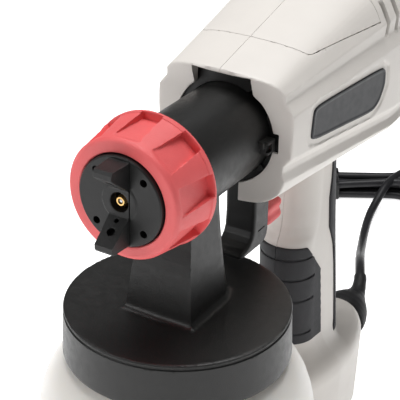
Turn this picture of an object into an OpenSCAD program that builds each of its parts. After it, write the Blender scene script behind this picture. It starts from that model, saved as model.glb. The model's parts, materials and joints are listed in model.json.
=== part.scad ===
// Hand-held electric spray gun for paint, with a motor and turbine in its housing.
// It stands on the flat base of its paint cup and on the foot of its handle.
// Frame: Z is up, Z = 0 is the surface it stands on, the nozzle points to -Y and
// the origin is the centre of the cup's base. All lengths are in millimetres.

/* [Spray head] */
// Height of the barrel axis above the surface the gun stands on
axis_z = 225; // [224:0.5:226]
// Outer radius of the barrel
barrel_r = 23.8; // [23.4:0.1:24]
// Wall thickness of the barrel
barrel_wall = 2.5; // [2:0.1:2.8]
// Outer radius of the lid's top edge
lid_r = 55; // [54.6:0.1:55.2]
// Thickness of the lid's top plate
lid_plate = 3.4; // [3:0.1:3.6]

/* [Union nut and air cap] */
// Outer radius of the union nut at its rear rim
nut_r = 32.2; // [31.5:0.1:33]
// Number of grip pockets around the union nut
nut_pockets = 9; // [8:1:10]
// Depth of each grip pocket
pocket_depth = 2.4; // [1.5:0.1:2.6]
// Radius of the air cap's disc
cap_r = 21.6; // [21.2:0.1:21.7]

/* [Cup] */
// Outer radius of the paint cup
cup_r = 69; // [67.5:0.5:69.5]
// Wall thickness of the paint cup
cup_wall = 2; // [1.6:0.1:2.4]

/* [Housing] */
// Wall thickness of the housing shells
shell_wall = 2.6; // [2.2:0.1:2.8]
// Width of the handle
handle_w = 34; // [33:0.5:34.5]
// Height of the foot under the handle
foot_h = 54; // [52:1:56]
// Radius of the motor's frame
motor_r = 28; // [27:0.5:28.4]

/* [Mains lead] */
// Diameter of the mains lead
lead_d = 6.2; // [6:0.1:6.4]
// Height of the bundled lead, two layers
bundle_h = 12.4; // [12:0.2:12.8]

/* [Hidden] */
$fn = 48;
za = axis_z;
zm = axis_z + 13;                 // height of the motor's axis
nut_face = -46.5;                 // front face of the union nut
pivot = [64, axis_z + 25];        // Y and Z of the trigger's pin
knob_z = axis_z - 60.5;           // height of the flow knob's axis
blk = [0.1, 0.1, 0.105];
shell_c = [0.80, 0.78, 0.76];
red = [0.86, 0.2, 0.24];

// ---------- helpers ----------

// A cylinder along Y at height z, from y0 to y1
module ycyl(r, y0, y1, z = axis_z, x = 0) {
  translate([x, y0, z]) rotate([-90, 0, 0]) cylinder(r = r, h = y1 - y0);
}

// A cone along Y at height z
module ycone(ra, rb, y0, y1, z = axis_z) {
  translate([0, y0, z]) rotate([-90, 0, 0]) cylinder(r1 = ra, r2 = rb, h = y1 - y0);
}

// A cylinder along X from x0 to x1
module xcyl(r, x0, x1, y, z) {
  translate([x0, y, z]) rotate([0, 90, 0]) cylinder(r = r, h = x1 - x0);
}

// A box from its lowest to its highest corner
module box(a, b) {
  translate(a) cube([b[0] - a[0], b[1] - a[1], b[2] - a[2]]);
}

// A ring of round wire around Y
module ywire(r, w, y, z = axis_z) {
  translate([0, y, z]) rotate([-90, 0, 0]) rotate_extrude()
    translate([r, 0]) circle(r = w, $fn = 16);
}

function unit(v) = v / norm(v);

// A round tube swept along a path: sides around it, radii r[i] at each point
module sweep(path, r, sides = 10) {
  n = len(path);
  t = [for (i = [0:n-1]) unit(path[min(i + 1, n - 1)] - path[max(i - 1, 0)])];
  side = [for (i = [0:n-1]) let (c = cross(t[i], abs(t[i][2]) > 0.9 ? [1, 0, 0] : [0, 0, 1])) unit(c)];
  // one side vector carried along the path, so the rings don't twist
  fr = [for (i = 0, s = side[0]; i < n;
         s = i + 1 < n ? unit(s - (s * t[i+1]) * t[i+1]) : s, i = i + 1) s];
  pts = [for (i = [0:n-1]) for (k = [0:sides-1])
          let (a = 360 * k / sides)
          path[i] + r[i] * (cos(a) * fr[i] + sin(a) * cross(t[i], fr[i]))];
  walls = [for (i = [0:n-2]) for (k = [0:sides-1])
            let (k2 = (k + 1) % sides)
            [i*sides + k, i*sides + k2, (i+1)*sides + k2, (i+1)*sides + k]];
  tri = [for (w = walls) each [[w[0], w[2], w[1]], [w[0], w[3], w[2]]]];
  polyhedron(points = pts,
             faces = concat(tri, [[for (k = [0:sides-1]) k]],
                            [[for (k = [sides-1:-1:0]) (n-1)*sides + k]]));
}

// A smooth path through round-number points (Catmull-Rom), m steps a span
function spline(p, m) = [
  for (i = [0:len(p)-2]) for (j = [0:m-1])
    let (a = p[max(i-1, 0)], b = p[i], c = p[i+1], d = p[min(i+2, len(p)-1)], u = j/m)
    0.5 * (2*b + (c - a)*u + (2*a - 5*b + 4*c - d)*u*u + (3*b - 3*c + d - a)*u*u*u),
  p[len(p)-1]
];
function same(v, n) = [for (i = [0:n-1]) v];

// ---------- housing ----------

// Section of the body: half width w, bottom zb, top zt
function half_sec(w, zb, zt) = [
  [0, zt], [0.4*w, zt - 0.5], [0.7*w, zt - 1.8], [0.83*w, zt - 4.2], [0.92*w, zt - 8.6],
  [0.985*w, zt - 16], [w, zt - 24], [w, zb + 22], [0.96*w, zb + 12], [0.86*w, zb + 5.5], [0.7*w, zb + 1.8],
  [0.5*w, zb + 0.3], [0, zb]];
module sec(y, w, zb, zt) {
  h = half_sec(w, zb, zt);
  n = len(h);
  translate([0, y, 0]) rotate([90, 0, 0]) translate([0, 0, -0.2])
    linear_extrude(0.2) polygon(concat(h, [for (i = [n-2:-1:1]) [-h[i][0], h[i][1]]]));
}
// Body of the housing, e inside its outer surface
module body_solid(e) {
  hull() {
    sec(34.5 + (e > 0 ? 1 : 0), 36.6 - e, za - 36 + e, za + 33.4 - e);
    sec(90, 41.5 - e, za - 35.6 + e, za + 48 - e);
    sec(145, 45 - e, za - 31 + e, za + 60 - e);
    sec(180, 43 - e, za - 25 + e, za + 56 - e);
    sec(202 - e, 37 - e, za - 21 + e, za + 49 - e);
  }
}
// Stadium section of the handle: half width, front and rear
module stad(w, ya, yb) {
  translate([0, ya + w]) circle(r = w, $fn = 32);
  translate([0, yb - w]) circle(r = w, $fn = 32);
}
module handle_solid(e) {
  w = handle_w/2 - e;
  hull() {
    translate([0, 0, za - 12]) linear_extrude(0.2) stad(w, 104.6 + e, 139 - e);
    translate([0, 0, za - 89]) linear_extrude(0.2) stad(w, 100.8 + e, 149 - e);
    translate([0, 0, 30]) linear_extrude(0.2) stad(w, 107 + e, 162.5 - e);
  }
}
// Outline of the foot
function oval(a, b, yc) = [for (k = [0:35]) [a*cos(10*k), yc + b*sin(10*k)]];
module foot_solid(e) {
  hull() {
    translate([0, 0, 1.5 + e]) linear_extrude(0.2) polygon(oval(28 - e, 57 - e, 133));
    translate([0, 0, 6 + e]) linear_extrude(foot_h - 20 - e) polygon(oval(30 - e, 60 - e, 133));
    translate([0, 0, foot_h - e - 0.2]) linear_extrude(0.2) polygon(oval(23 - e, 50 - e, 133));
  }
}
screw_spots = [[145, za - 24], [84, za + 31], [178, za + 46.5], [184, za - 12.5],
               [136, za - 62], [141, za - 104], [170, 18]];

// Both shells as one, before they are parted at X = 0
module shells() {
  difference() {
    intersection() {
      union() { body_solid(0); handle_solid(0); foot_solid(0); }
      union() {
        difference() {
          box([-60, 20, 0], [60, 230, 320]);
          body_solid(shell_wall);
          handle_solid(shell_wall);
          foot_solid(shell_wall);
        }
        // front wall
        box([-60, 20, za - 60], [60, 41.6, za + 60]);
        // ribs that carry the fan housing and the motor
        for (y = [94, 115.5, 170]) difference() {
          box([-60, y, za - 32], [60, y + 2.5, za + 70]);
          ycyl(y < 100 ? 32.7 : 31.1, y - 1, y + 4, zm);
          // way for the lead to the switch
          box([-4, y - 1, za - 30], [4, y + 4, za - 18]);
        }
        // bosses for the trigger pin
        for (s = [-1, 1]) xcyl(5, s > 0 ? 18 : -50, s > 0 ? 50 : -18, pivot[0], pivot[1]);
        // screw bosses
        for (p = screw_spots) xcyl(3.6, -60, 60, p[0], p[1]);
      }
    }
    // front face: upright below, leaning forward to the top edge
    box([-60, 20, za - 60], [60, 40, za + 16]);
    translate([-60, 0, 0]) rotate([90, 0, 90]) linear_extrude(120)
      polygon([[20, za + 15.9], [40, za + 15.9], [34.3, za + 33.6], [20, za + 40]]);
    // round opening for the barrel, with the notch above it
    ycyl(27, 30, 46);
    box([-16, 30, za + 10], [16, 42, za + 31]);
    // notch for the side lug
    box([20, 30, za - 5], [29.4, 42, za + 5]);
    // seat of the bayonet ring
    ycyl(31.4, 41.6, 57.8);
    // slot for the trigger
    box([-8.8, 20, za - 45], [8.8, 84, za - 24]);
    box([-9.6, 46, za - 45], [9.6, 84, za - 24]);
    // rear opening for the filter cover
    ycyl(32, 190, 210, zm);
    // pin bores
    xcyl(2.03, -23, 23, pivot[0], pivot[1]);
    // screw holes with head pockets on one side
    for (p = screw_spots) {
      xcyl(1.6, -60, 12, p[0], p[1]);
      xcyl(3.05, -60, -8, p[0], p[1]);
    }
    // seat of the top cover
    cover_slab(0.15);
    // air inlet slots in the upper sides
    for (s = [-1, 1]) for (k = [0:4])
      translate([s*42, 130 + 9*k, za + 37]) rotate([0, s*20, 0])
        box([-9, -1.7, -9], [9, 1.7, 9]);
    // pockets of the foot pads
    for (p = pad_spots) translate([p[0], p[1], 0]) cylinder(r = 6.1, h = 2.6);
    // outlet of the cord boot
    ycyl(7.1, 180, 200, 34);
  }
}
pad_spots = [[-15, 96], [15, 96], [-15, 170], [15, 170]];

// The panel on the housing's top: e widens it
module cover_slab(e) {
  intersection() {
    translate([0, 0, za + 20]) linear_extrude(80)
      polygon([[0, 62.9-e], [11, 63.4-e], [21, 64.9-e], [29.3+e, 67.5-e], [40.3+e, 122], [40.3+e, 124+e],
               [-40.3-e, 124+e], [-40.3-e, 122], [-29.3-e, 67.5-e], [-21, 64.9-e], [-11, 63.4-e]]);
    translate([-60, 0, 0]) rotate([90, 0, 90]) linear_extrude(120)
      polygon([[50, za + 33-e], [130, za + 40-e], [130, za + 90], [50, za + 90]]);
  }
}

module housing_right() color(shell_c)
  intersection() { shells(); box([0.05, 0, 0], [80, 240, 330]); }
module housing_left() color(shell_c)
  intersection() { shells(); box([-80, 0, 0], [-0.05, 240, 330]); }

module top_cover() color(shell_c)
  intersection() {
    difference() { body_solid(0.1); body_solid(2.5); }
    cover_slab(0);
    box([-60, 40, za + 10], [60, 160, za + 90]);
  }

// Side badge plates, bare
module badge(s) {
  intersection() {
    difference() { hull() { body_badge(0.9); } hull() { body_badge(0.03); } }
    translate([s > 0 ? 30 : -60, 0, 0]) rotate([90, 0, 90]) linear_extrude(30)
      polygon([[57, za + 0.8], [58.1, za + 11.5], [59.5, za + 13.4], [64.8, za + 14.4], [121.7, za + 14.3],
               [125.6, za + 11.8], [125.9, za + 3.7], [121, za - 4.3], [114.5, za - 7.5],
               [86, za - 5.1], [63.1, za - 3.4], [57.3, za - 1.9]]);
  }
}
// Flat sided block that follows the body's flank, e outside it
module body_badge(e) {
  for (y = [34.5, 90, 145])
    let (w = y < 40 ? 36.6 : y < 100 ? 41.5 : 45)
    box([-w - e, y, za - 16], [w + e, y + 0.2, za + 16]);
}
module badge_right() color([0.36, 0.37, 0.38]) badge(1);
module badge_left() color([0.36, 0.37, 0.38]) badge(-1);

// Rubber panels at the front of the handle, left and right
module grip(s) {
  intersection() {
    difference() {
      grip_block(1.2);
      grip_block(0.05);
    }
    translate([s > 0 ? 0.15 : -30, 0, 0]) rotate([90, 0, 90]) linear_extrude(29.85)
      polygon([[80, 131], [96, 132.4], [109, 131.2], [122, 113.3], [128, 66], [117.3, 59.8],
               [104, 60], [80, 64]]);
  }
}
// The handle's shape, e outside it
module grip_block(e) {
  w = handle_w/2 + e;
  hull() {
    translate([0, 0, za - 12]) linear_extrude(0.2) stad(w, 104.6 - e, 139 + e);
    translate([0, 0, za - 89]) linear_extrude(0.2) stad(w, 100.8 - e, 149 + e);
    translate([0, 0, 30]) linear_extrude(0.2) stad(w, 107 - e, 162.5 + e);
  }
}
module grip_right() color([0.22, 0.22, 0.23]) grip(1);
module grip_left() color([0.22, 0.22, 0.23]) grip(-1);
module grip_back() color([0.3, 0.3, 0.32])
  intersection() {
    difference() { grip_block(1.2); grip_block(0.05); }
    translate([-30, 0, 0]) rotate([90, 0, 90]) linear_extrude(60)
      polygon([[130, 180], [165, 180], [175, 58], [145, 58], [142.4, 86], [136, 122], [130, 136]]);
  }

module bayonet_ring() color(blk)
  difference() {
    ycyl(31, 42, 56);
    ycyl(barrel_r + 0.35, 41, 57);
    ycyl(29, 46.5, 52);
    intersection() {
      ycyl(29, 41, 47);
      translate([0, 0, za]) rotate([0, 45, 0]) box([-7.2, 41, -40], [7.2, 47, 40]);
    }
    // free way for the slot of the trigger
    box([-9, 41, za - 40], [9, 57, za - 27.5]);
  }

module air_duct() color(blk)
  difference() {
    union() {
      box([-12.5, 57.4, za + 6.5], [12.5, 92, za + 22]);
      ycyl(16, 88, 92, zm);
    }
    box([-11, 57, za + 8], [11, 93, za + 20.5]);
  }
module duct_seal() color([0.2, 0.2, 0.2])
  difference() {
    box([-12.5, 56.3, za + 6.5], [12.5, 57.4, za + 22]);
    box([-10.5, 56, za + 8.5], [10.5, 58, za + 20]);
  }

module fan_housing() color([0.16, 0.16, 0.17])
  difference() {
    ycyl(32.5, 92, 112, zm);
    ycyl(30.8, 93.5, 110.5, zm);
    ycyl(6.2, 91, 94, zm);
    box([-11, 91, za + 8], [11, 94, za + 20.5]);
    ycyl(16, 110, 113, zm);
  }

module motor_frame() color([0.62, 0.63, 0.65])
  difference() {
    union() {
      ycyl(motor_r, 112, 176, zm);
      ycyl(10, 176, 183, zm);
    }
    ycyl(motor_r - 1.8, 113.5, 174.5, zm);
    ycyl(9, 111, 114, zm);
    ycyl(8.05, 174, 182, zm);
    ycyl(3.6, 174, 184, zm);
    for (k = [0:5]) translate([0, 0, zm]) rotate([0, 60*k, 0])
      ycyl_local(4, 174, 177, 18);
    // slots for the brush holders
    for (s = [-1, 1]) box([s > 0 ? 20 : -30, 156.4, zm - 5.2], [s > 0 ? 30 : -20, 167.6, zm + 5.2]);
  }
module ycyl_local(r, y0, y1, x) {
  translate([x, y0, 0]) rotate([-90, 0, 0]) cylinder(r = r, h = y1 - y0);
}

module stator_core() color([0.5, 0.5, 0.52])
  difference() {
    ycyl(motor_r - 2, 122, 148, zm);
    ycyl(17, 121, 149, zm);
    for (s = [-1, 1]) for (q = [-1, 1])
      translate([q*12, 121, zm + s*18]) box([-3.05, 0, -2.05], [3.05, 28, 2.05]);
  }
module field_coils() color([0.72, 0.38, 0.16])
  for (s = [-1, 1]) difference() {
    box([-15, 117.5, zm + s*18 - 2], [15, 152.5, zm + s*18 + 2]);
    box([-9, 121.9, zm + s*18 - 3], [9, 148.1, zm + s*18 + 3]);
    ycyl(17.3, 117, 153, zm);
  }
module brush_holders() color([0.8, 0.65, 0.3])
  for (s = [-1, 1]) difference() {
    box([s > 0 ? 12 : -29, 157, zm - 4.6], [s > 0 ? 29 : -12, 167, zm + 4.6]);
    box([s > 0 ? 11 : -27.5, 159, zm - 3], [s > 0 ? 27.5 : -11, 165, zm + 3]);
  }
module carbon_brushes() color([0.2, 0.2, 0.2])
  for (s = [-1, 1]) box([s > 0 ? 11.4 : -22, 159.1, zm - 2.9], [s > 0 ? 22 : -11.4, 164.9, zm + 2.9]);

module front_bearing() color([0.7, 0.7, 0.72])
  difference() { union() { ycyl(9, 112, 117, zm); } ycyl(4.06, 111, 118, zm); }
module rear_bearing() color([0.7, 0.7, 0.72])
  difference() { ycyl(8, 176, 181, zm); ycyl(3.06, 175, 182, zm); }

module front_mount_ring() color([0.15, 0.15, 0.15])
  difference() { ycyl(31, 114, 119, zm); ycyl(28.02, 113, 120, zm); }
module rear_mount_ring() color([0.15, 0.15, 0.15])
  difference() { ycyl(31, 168, 173.5, zm); ycyl(28.02, 167, 174.5, zm); }

module filter_grille() color(blk)
  difference() {
    ycyl(31.6, 191, 193, zm);
    for (k = [0:11]) translate([0, 0, zm]) rotate([0, 30*k, 0]) translate([12, 190, -1.5]) cube([16, 4, 3]);
  }
module filter_foam() color([0.35, 0.36, 0.4])
  difference() { ycyl(31, 193, 201, zm); ycyl(4, 192, 202, zm); }

module switch_body() color([0.25, 0.25, 0.27])
  difference() {
    box([-7, 76, za - 26], [7, 91.6, za - 4]);
    ycyl(3.1, 75, 87.5, za - 20);
  }
module trigger_pin() color([0.7, 0.7, 0.72]) xcyl(2, -22.8, 22.8, pivot[0], pivot[1]);
module trigger_spring() color([0.75, 0.75, 0.77])
  for (s = [-1, 1]) for (k = [0:1])
    translate([s*(16.95 + 0.55*k), pivot[0], pivot[1]]) rotate([0, 90, 0]) rotate_extrude()
      translate([3.1, 0]) circle(r = 0.25, $fn = 14);

module housing_screws() color([0.25, 0.25, 0.27])
  for (p = screw_spots) {
    xcyl(1.55, -8, 11, p[0], p[1]);
    difference() {
      xcyl(3, -10.6, -8, p[0], p[1]);
      translate([-10.6, p[0], p[1]]) box([-1, -1.8, -0.45], [1.4, 1.8, 0.45]);
      translate([-10.6, p[0], p[1]]) box([-1, -0.45, -1.8], [1.4, 0.45, 1.8]);
    }
  }
module foot_pads() color([0.12, 0.12, 0.12])
  for (p = pad_spots) translate([p[0], p[1], 0]) cylinder(r = 6, h = 2.6);

// ---------- mains lead ----------

// The lead inside the handle, from the clamp to the switch
inner_path = spline([[0, 182, 34], [0, 166, 34], [0, 150, 40], [0, 143, 60], [0, 136, 100],
                     [0, 128, 150], [0, 116, za - 38], [0, 105, za - 29], [0, 97, za - 25.5],
                     [0, 91.8, za - 24]], 3);
module inner_lead() color([0.15, 0.15, 0.16])
  sweep(inner_path, same(2.2, len(inner_path)), 8);
module cord_clamp() color([0.2, 0.2, 0.21])
  difference() {
    box([-12, 176, 27.5], [12, 182, 40.5]);
    ycyl(3.3, 175, 183, 34);
  }

// Bend relief that turns the lead upward behind the foot
boot_path = [[0, 183, 34], [0, 193.1, 34], [0, 193.6, 34], [0, 200, 35], [0, 206.5, 37.5],
             [0, 212, 41], [0, 216.5, 45.3], [-2.2, 222.5, 48.6]];
boot_r = [7, 7, 15, 13.2, 10, 7, 5, 3.9];
module cord_boot() color(blk) sweep(boot_path, boot_r, 12);

// Route of the lead: out of the boot, down to the surface and up onto the bundle
lead_pts = [[-2.2, 222.5, 48.6], [-6, 230, 50.5], [-11, 240.5, 49.5], [-16.7, 253, 45], [-23, 267.5, 37],
            [-30, 284, 27.5], [-37.5, 301, 19], [-44.5, 317.5, 12], [-51, 334, 7], [-57, 349, 4.2],
            [-62, 363, 3.2], [-67, 376, 3.3], [-71.5, 386, 3.8], [-74.5, 393, 4.8], [-76.6, 402, 8.6],
            [-77.7, 411, 13], [-77.9, 420, 15.6], [-75.9, 428, 15.8], [-73.7, 434.2, 15.8]];
lead_path = spline(lead_pts, 2);
module cord_lead() color(blk) sweep(lead_path, same(lead_d/2, len(lead_path)), 8);

// The rest of the lead, bundled: narrow between two rounded ends
hank = [-92, 422];
hank_turn = 31;
module cord_hank() color(blk)
  translate([hank[0], hank[1], 0]) rotate([0, 0, hank_turn]) {
    box([-57, -12.4, 0], [57, 12.4, bundle_h]);
    translate([-55, 0, 0]) cylinder(r = 27, h = bundle_h);
    translate([55, 0, 0]) cylinder(r = 27, h = bundle_h);
    translate([55, 0, 0]) cylinder(r = 22, h = bundle_h + 6.2);
  }
module cord_tie() color([0.1, 0.1, 0.1])
  translate([hank[0], hank[1], 0]) rotate([0, 0, hank_turn]) difference() {
    box([-26, -13.9, 0], [-20, 13.9, bundle_h + 1.4]);
    box([-27, -12.4, -1], [-19, 12.4, bundle_h]);
  }
tail_pts = [[-51, 478.8, 3.2], [-41, 482.8, 4], [-29, 486.4, 6.6], [-17, 488.6, 10], [-6, 489, 12.6], [4, 489, 13]];
tail_path = spline(tail_pts, 4);
module cord_tail() color(blk) sweep(tail_path, same(lead_d/2, len(tail_path)), 8);

// Two-pin plug lying on its side, pins towards +X
module plug_body() color(blk)
  difference() {
    union() {
      translate([4, 489, 13]) rotate([0, 90, 0]) cylinder(r1 = 4.4, r2 = 7, h = 20);
      translate([24, 489, 13]) rotate([0, 90, 0]) cylinder(r1 = 9, r2 = 12.9, h = 18);
      translate([42, 489, 13]) rotate([0, 90, 0]) cylinder(r = 12.9, h = 14);
      for (s = [-1, 1]) translate([42, 489 + s*5.5, 13]) rotate([0, 90, 0]) cylinder(r = 12.4, h = 14);
    }
    for (s = [-1, 1]) xcyl(2, 46, 57, 489 + s*9.5, 13);
  }
module plug_pins() color([0.78, 0.78, 0.8])
  for (s = [-1, 1]) {
    xcyl(2, 46, 56.01, 489 + s*9.5, 13);
    xcyl(2.4, 56, 73.5, 489 + s*9.5, 13);
    translate([73.5, 489 + s*9.5, 13]) rotate([0, 90, 0]) cylinder(r1 = 2.4, r2 = 1.4, h = 1.5);
  }

// ---------- motor and turbine ----------

module motor_shaft() color([0.75, 0.75, 0.77]) {
  ycyl(4, 96, 170, zm);
  ycyl(3, 170, 181.5, zm);
}
module armature() color([0.55, 0.4, 0.3])
  difference() {
    union() { ycyl(16, 123, 147, zm); ycyl(12.5, 118.5, 152, zm); }
    ycyl(4, 118, 153, zm);
    for (k = [0:11]) translate([0, 0, zm]) rotate([0, 30*k, 0]) translate([14, 122, -1]) cube([3, 26, 2]);
  }
module commutator() color([0.75, 0.45, 0.25])
  difference() {
    ycyl(11, 154, 170, zm);
    ycyl(4, 153, 171, zm);
    for (k = [0:11]) translate([0, 0, zm]) rotate([0, 30*k, 0]) translate([10, 153, -0.3]) cube([2, 18, 0.6]);
  }
module impeller() color([0.85, 0.85, 0.83])
  difference() {
    union() {
      ycyl(29.6, 106, 107.6, zm);
      ycyl(8, 98, 108, zm);
      for (k = [0:8]) translate([0, 0, zm]) rotate([0, 40*k, 0]) translate([7, 98.6, 0])
        rotate([0, 25, 0]) cube([22, 7.6, 1.4]);
    }
    ycyl(4, 95, 110, zm);
  }
module impeller_nut() color([0.75, 0.75, 0.77])
  difference() {
    translate([0, 94.4, zm]) rotate([-90, 0, 0]) cylinder(r = 6, h = 3.6, $fn = 6);
    ycyl(4, 95.9, 98.5, zm);
  }

// ---------- trigger ----------

module trigger() color(blk)
  difference() {
    union() {
      // finger part with a toe at its lower front
      translate([-8.7, 0, 0]) rotate([90, 0, 90]) linear_extrude(17.4)
        polygon([[58.3, za - 29], [58.6, za - 54], [58, za - 62], [54.8, za - 66.8], [50.8, za - 69.2],
                 [46.4, za - 69.6], [45, za - 71], [46, za - 72.4], [52, za - 72.7], [68, za - 72.8],
                 [71, za - 71.5], [73.5, za - 67], [73.5, za - 33], [66, za - 29]]);
      // web and arms inside the housing
      box([-16.5, 60, za - 29], [16.5, 66, za + 4.5]);
      for (s = [-1, 1]) {
        box([s > 0 ? 13.5 : -16.5, 60, za - 29], [s > 0 ? 16.5 : -13.5, 67, za + 25]);
        xcyl(5, s > 0 ? 13.5 : -16.5, s > 0 ? 16.5 : -13.5, pivot[0], pivot[1]);
      }
    }
    box([-2.8, 59, za - 4], [2.8, 67, za + 10]);
    xcyl(2.06, -20, 20, pivot[0], pivot[1]);
    ycyl(2.5, 64, 74, knob_z);
    // hollow back of the finger part
    box([-5.6, 61, za - 52], [5.6, 74, za - 34]);
  }
module flow_stud() color([0.7, 0.7, 0.72]) ycyl(2.5, 64, 85.5, knob_z);
module flow_knob() color(red)
  difference() {
    union() {
      ycyl(7.4, 73.7, 88.8, knob_z);
      for (k = [0:5]) translate([0, 0, knob_z]) rotate([0, 60*k, 0])
        ycyl_local(3, 75, 88.8, 6.5);
    }
    ycyl(2.56, 72, 86.2, knob_z);
  }
module switch_button() color([0.5, 0.1, 0.1])
  union() {
    ycyl(3.04, 70, 80, za - 20);
    translate([0, 70, za - 20]) sphere(r = 3.04);
  }

// ---------- spray head ----------

// Neck between the lid and the barrel
module neck() {
  hull() {
    translate([0, 0, 149]) linear_extrude(0.2)
      polygon([[-20, -21], [20, -21], [19, 17], [14, 24], [-14, 24], [-19, 17]]);
    translate([0, 0, 155]) linear_extrude(0.2)
      polygon([[-18.8, -19.8], [18.8, -19.8], [18, 17], [13, 22], [-13, 22], [-18, 17]]);
    translate([0, 0, 195]) linear_extrude(0.2)
      polygon([[-13, -10], [13, -10], [13, 17], [10, 20], [-10, 20], [-13, 17]]);
    translate([0, 0, za - 14]) linear_extrude(0.2)
      polygon([[-12.6, -10], [12.6, -10], [12.6, 17], [10, 20], [-10, 20], [-12.6, 17]]);
  }
}
module spray_head() color(blk)
  difference() {
    union() {
      ycyl(barrel_r, -38, 56);
      neck();
      // lid with its skirt
      rotate_extrude($fn = 96) polygon([
        [0, 150], [lid_r - 2.4, 150], [lid_r - 0.7, 149.4], [lid_r, 147.8],
        [lid_r + 1, 125.5], [lid_r - 1.6, 125.5], [lid_r - 2.5, 133.5], [50.6, 134],
        [50.6, 135.4], [lid_r - 2.5, 135.9], [lid_r - 2.6, 150 - lid_plate], [0, 150 - lid_plate]]);
      // side lug
      box([22, 33, za - 3.5], [28.5, 39.5, za + 3.5]);
      // locking lugs, above and below
      intersection() {
        ycyl(28.6, 47, 51.5);
        box([-6.5, 46, za - 30], [6.5, 53, za + 30]);
      }
      ycyl(1.6, 39.9, 41.7, za - 14.6, 20);
    }
    ycyl(barrel_r - barrel_wall, -39, 53);
    // air port in the rear wall, and the hole for the needle
    box([-10.5, 52, za + 8.5], [10.5, 57, za + 19]);
    ycyl(2.2, 52, 57);
    // channel in the neck
    translate([0, 0, 140]) cylinder(r = 8, h = za - 160);
    // vent hole of the cup
    translate([0, 32, 140]) cylinder(r = 1.6, h = 14);
  }

module fluid_body() color([0.3, 0.3, 0.31])
  difference() {
    union() {
      ycyl(6.5, -34, 34);
      translate([0, 0, 132]) cylinder(r = 6, h = za - 132);
    }
    ycyl(2.6, -35, 30);
    ycyl(4.5, 28, 35);
    translate([0, 0, 147.9]) cylinder(r = 3, h = za - 148);
    translate([0, 0, 131]) cylinder(r = 4.05, h = 17);
  }
module needle_gland() color([0.75, 0.62, 0.3])
  difference() {
    union() { ycyl(4.5, 30, 34); translate([0, 34, za]) rotate([-90, 0, 0]) cylinder(r = 7, h = 4, $fn = 6); }
    ycyl(1.56, 29, 39);
  }
module fluid_nozzle() color([0.72, 0.55, 0.25])
  difference() {
    union() {
      ycyl(7.4, -37, -34);
      ycone(4.2, 7, -43, -37);
      ycyl(3.4, -45, -43);
      ycone(2.2, 3.4, -47.6, -45);
    }
    ycyl(1.25, -48, -43);
    ycyl(2.6, -43.5, -33);
  }
module air_guide() color([0.25, 0.25, 0.26])
  difference() {
    ycyl(barrel_r - barrel_wall - 0.02, -37, -34.6);
    ycyl(7.42, -38, -34);
    for (k = [0:11]) translate([0, 0, za]) rotate([0, 30*k, 0]) ycyl_local(2.6, -38, -34, 14.4);
  }
module lid_gasket() color([0.6, 0.6, 0.58])
  difference() {
    translate([0, 0, 143.3]) cylinder(r = 49.4, h = 3.2, $fn = 96);
    translate([0, 0, 142]) cylinder(r = 46.4, h = 6, $fn = 96);
  }
module vent_valve() color([0.75, 0.3, 0.28])
  difference() {
    translate([0, 32, 138]) cylinder(r = 7, h = 150 - lid_plate - 138);
    translate([0, 32, 139.5]) cylinder(r = 5.4, h = 12);
  }
module needle_spring() color([0.75, 0.75, 0.77])
  for (k = [0:3]) ywire(3.4, 0.5, 46.4 + 1.9*k);
module needle() color([0.78, 0.78, 0.8]) {
  ycone(0.8, 1.1, -47.2, -43.6);
  ycone(1.1, 1.5, -43.6, -41.5);
  ycyl(1.5, -41.5, 70);
  difference() { ycyl(5, 43.5, 45.5); ycyl(1.5, 43, 46); }
  ycyl(5.5, 67.2, 70);
}

// ---------- union nut and air cap ----------

module union_nut() color(red)
  difference() {
    rotate_nut([[22, nut_face + 1.2], [23.2, nut_face], [nut_r - 5.6, nut_face],
                [nut_r - 4.2, nut_face + 0.6], [nut_r - 3.4, nut_face + 2],
                [nut_r - 0.6, -23.4], [nut_r, -23], [nut_r, -20.2], [barrel_r + 0.4, -20.2],
                [barrel_r + 0.4, nut_face + 3.4], [22, nut_face + 3.4]]);
    for (k = [0:nut_pockets-1]) translate([0, 0, za]) rotate([0, 360*k/nut_pockets, 0])
      translate([0, 0, nut_r - 1.2 - pocket_depth])
        linear_extrude(12) polygon([[-6.8, nut_face - 4], [6.8, nut_face - 4], [5.3, -22], [-5.3, -22]]);
  }
// A profile of [radius, y] points turned around the barrel's axis
module rotate_nut(p) {
  translate([0, 0, za]) rotate([-90, 0, 0]) rotate_extrude($fn = 96) polygon(p);
}
module air_cap() color(blk)
  difference() {
    union() {
      rotate_nut([[4.7, -48.6], [8.8, -48.6], [9.2, -48.2], [cap_r - 0.5, -48.2], [cap_r, -47.7],
                  [cap_r, -42.8], [23.6, -42.8], [23.6, -38.6], [20, -38.6], [20, -40.8],
                  [8, -40.8], [4.7, -44]]);
      for (s = [0, 180]) translate([0, 0, za]) rotate([0, s, 0]) intersection() {
        translate([-6, 0, 0]) rotate([90, 0, 90]) linear_extrude(12)
          polygon([[-44, 9.4], [-47, 6.1], [-48.2, 6.1], [-60.9, 16.2], [-60.8, 18.6],
                   [-59.9, 19.9], [-44, 19.9]]);
        translate([0, 0, -1]) linear_extrude(40)
          polygon([[-5.2, -42], [-5.2, -48.2], [-4.7, -61], [4.7, -61], [5.2, -48.2], [5.2, -42]]);
      }
    }
    for (a = [45:90:315]) translate([0, 0, za]) rotate([0, a, 0]) ycyl_local(1.8, -50, -40, 17.4);
    // air holes in the inner faces of the horns
    for (s = [0, 180]) translate([0, 0, za]) rotate([0, s, 0]) {
      translate([0, -51, 8.3]) rotate([38, 0, 0]) cylinder(r = 0.9, h = 7, center = true);
      translate([0, -56, 12.3]) rotate([38, 0, 0]) cylinder(r = 1.6, h = 7, center = true);
    }
  }

// ---------- cup ----------

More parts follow.
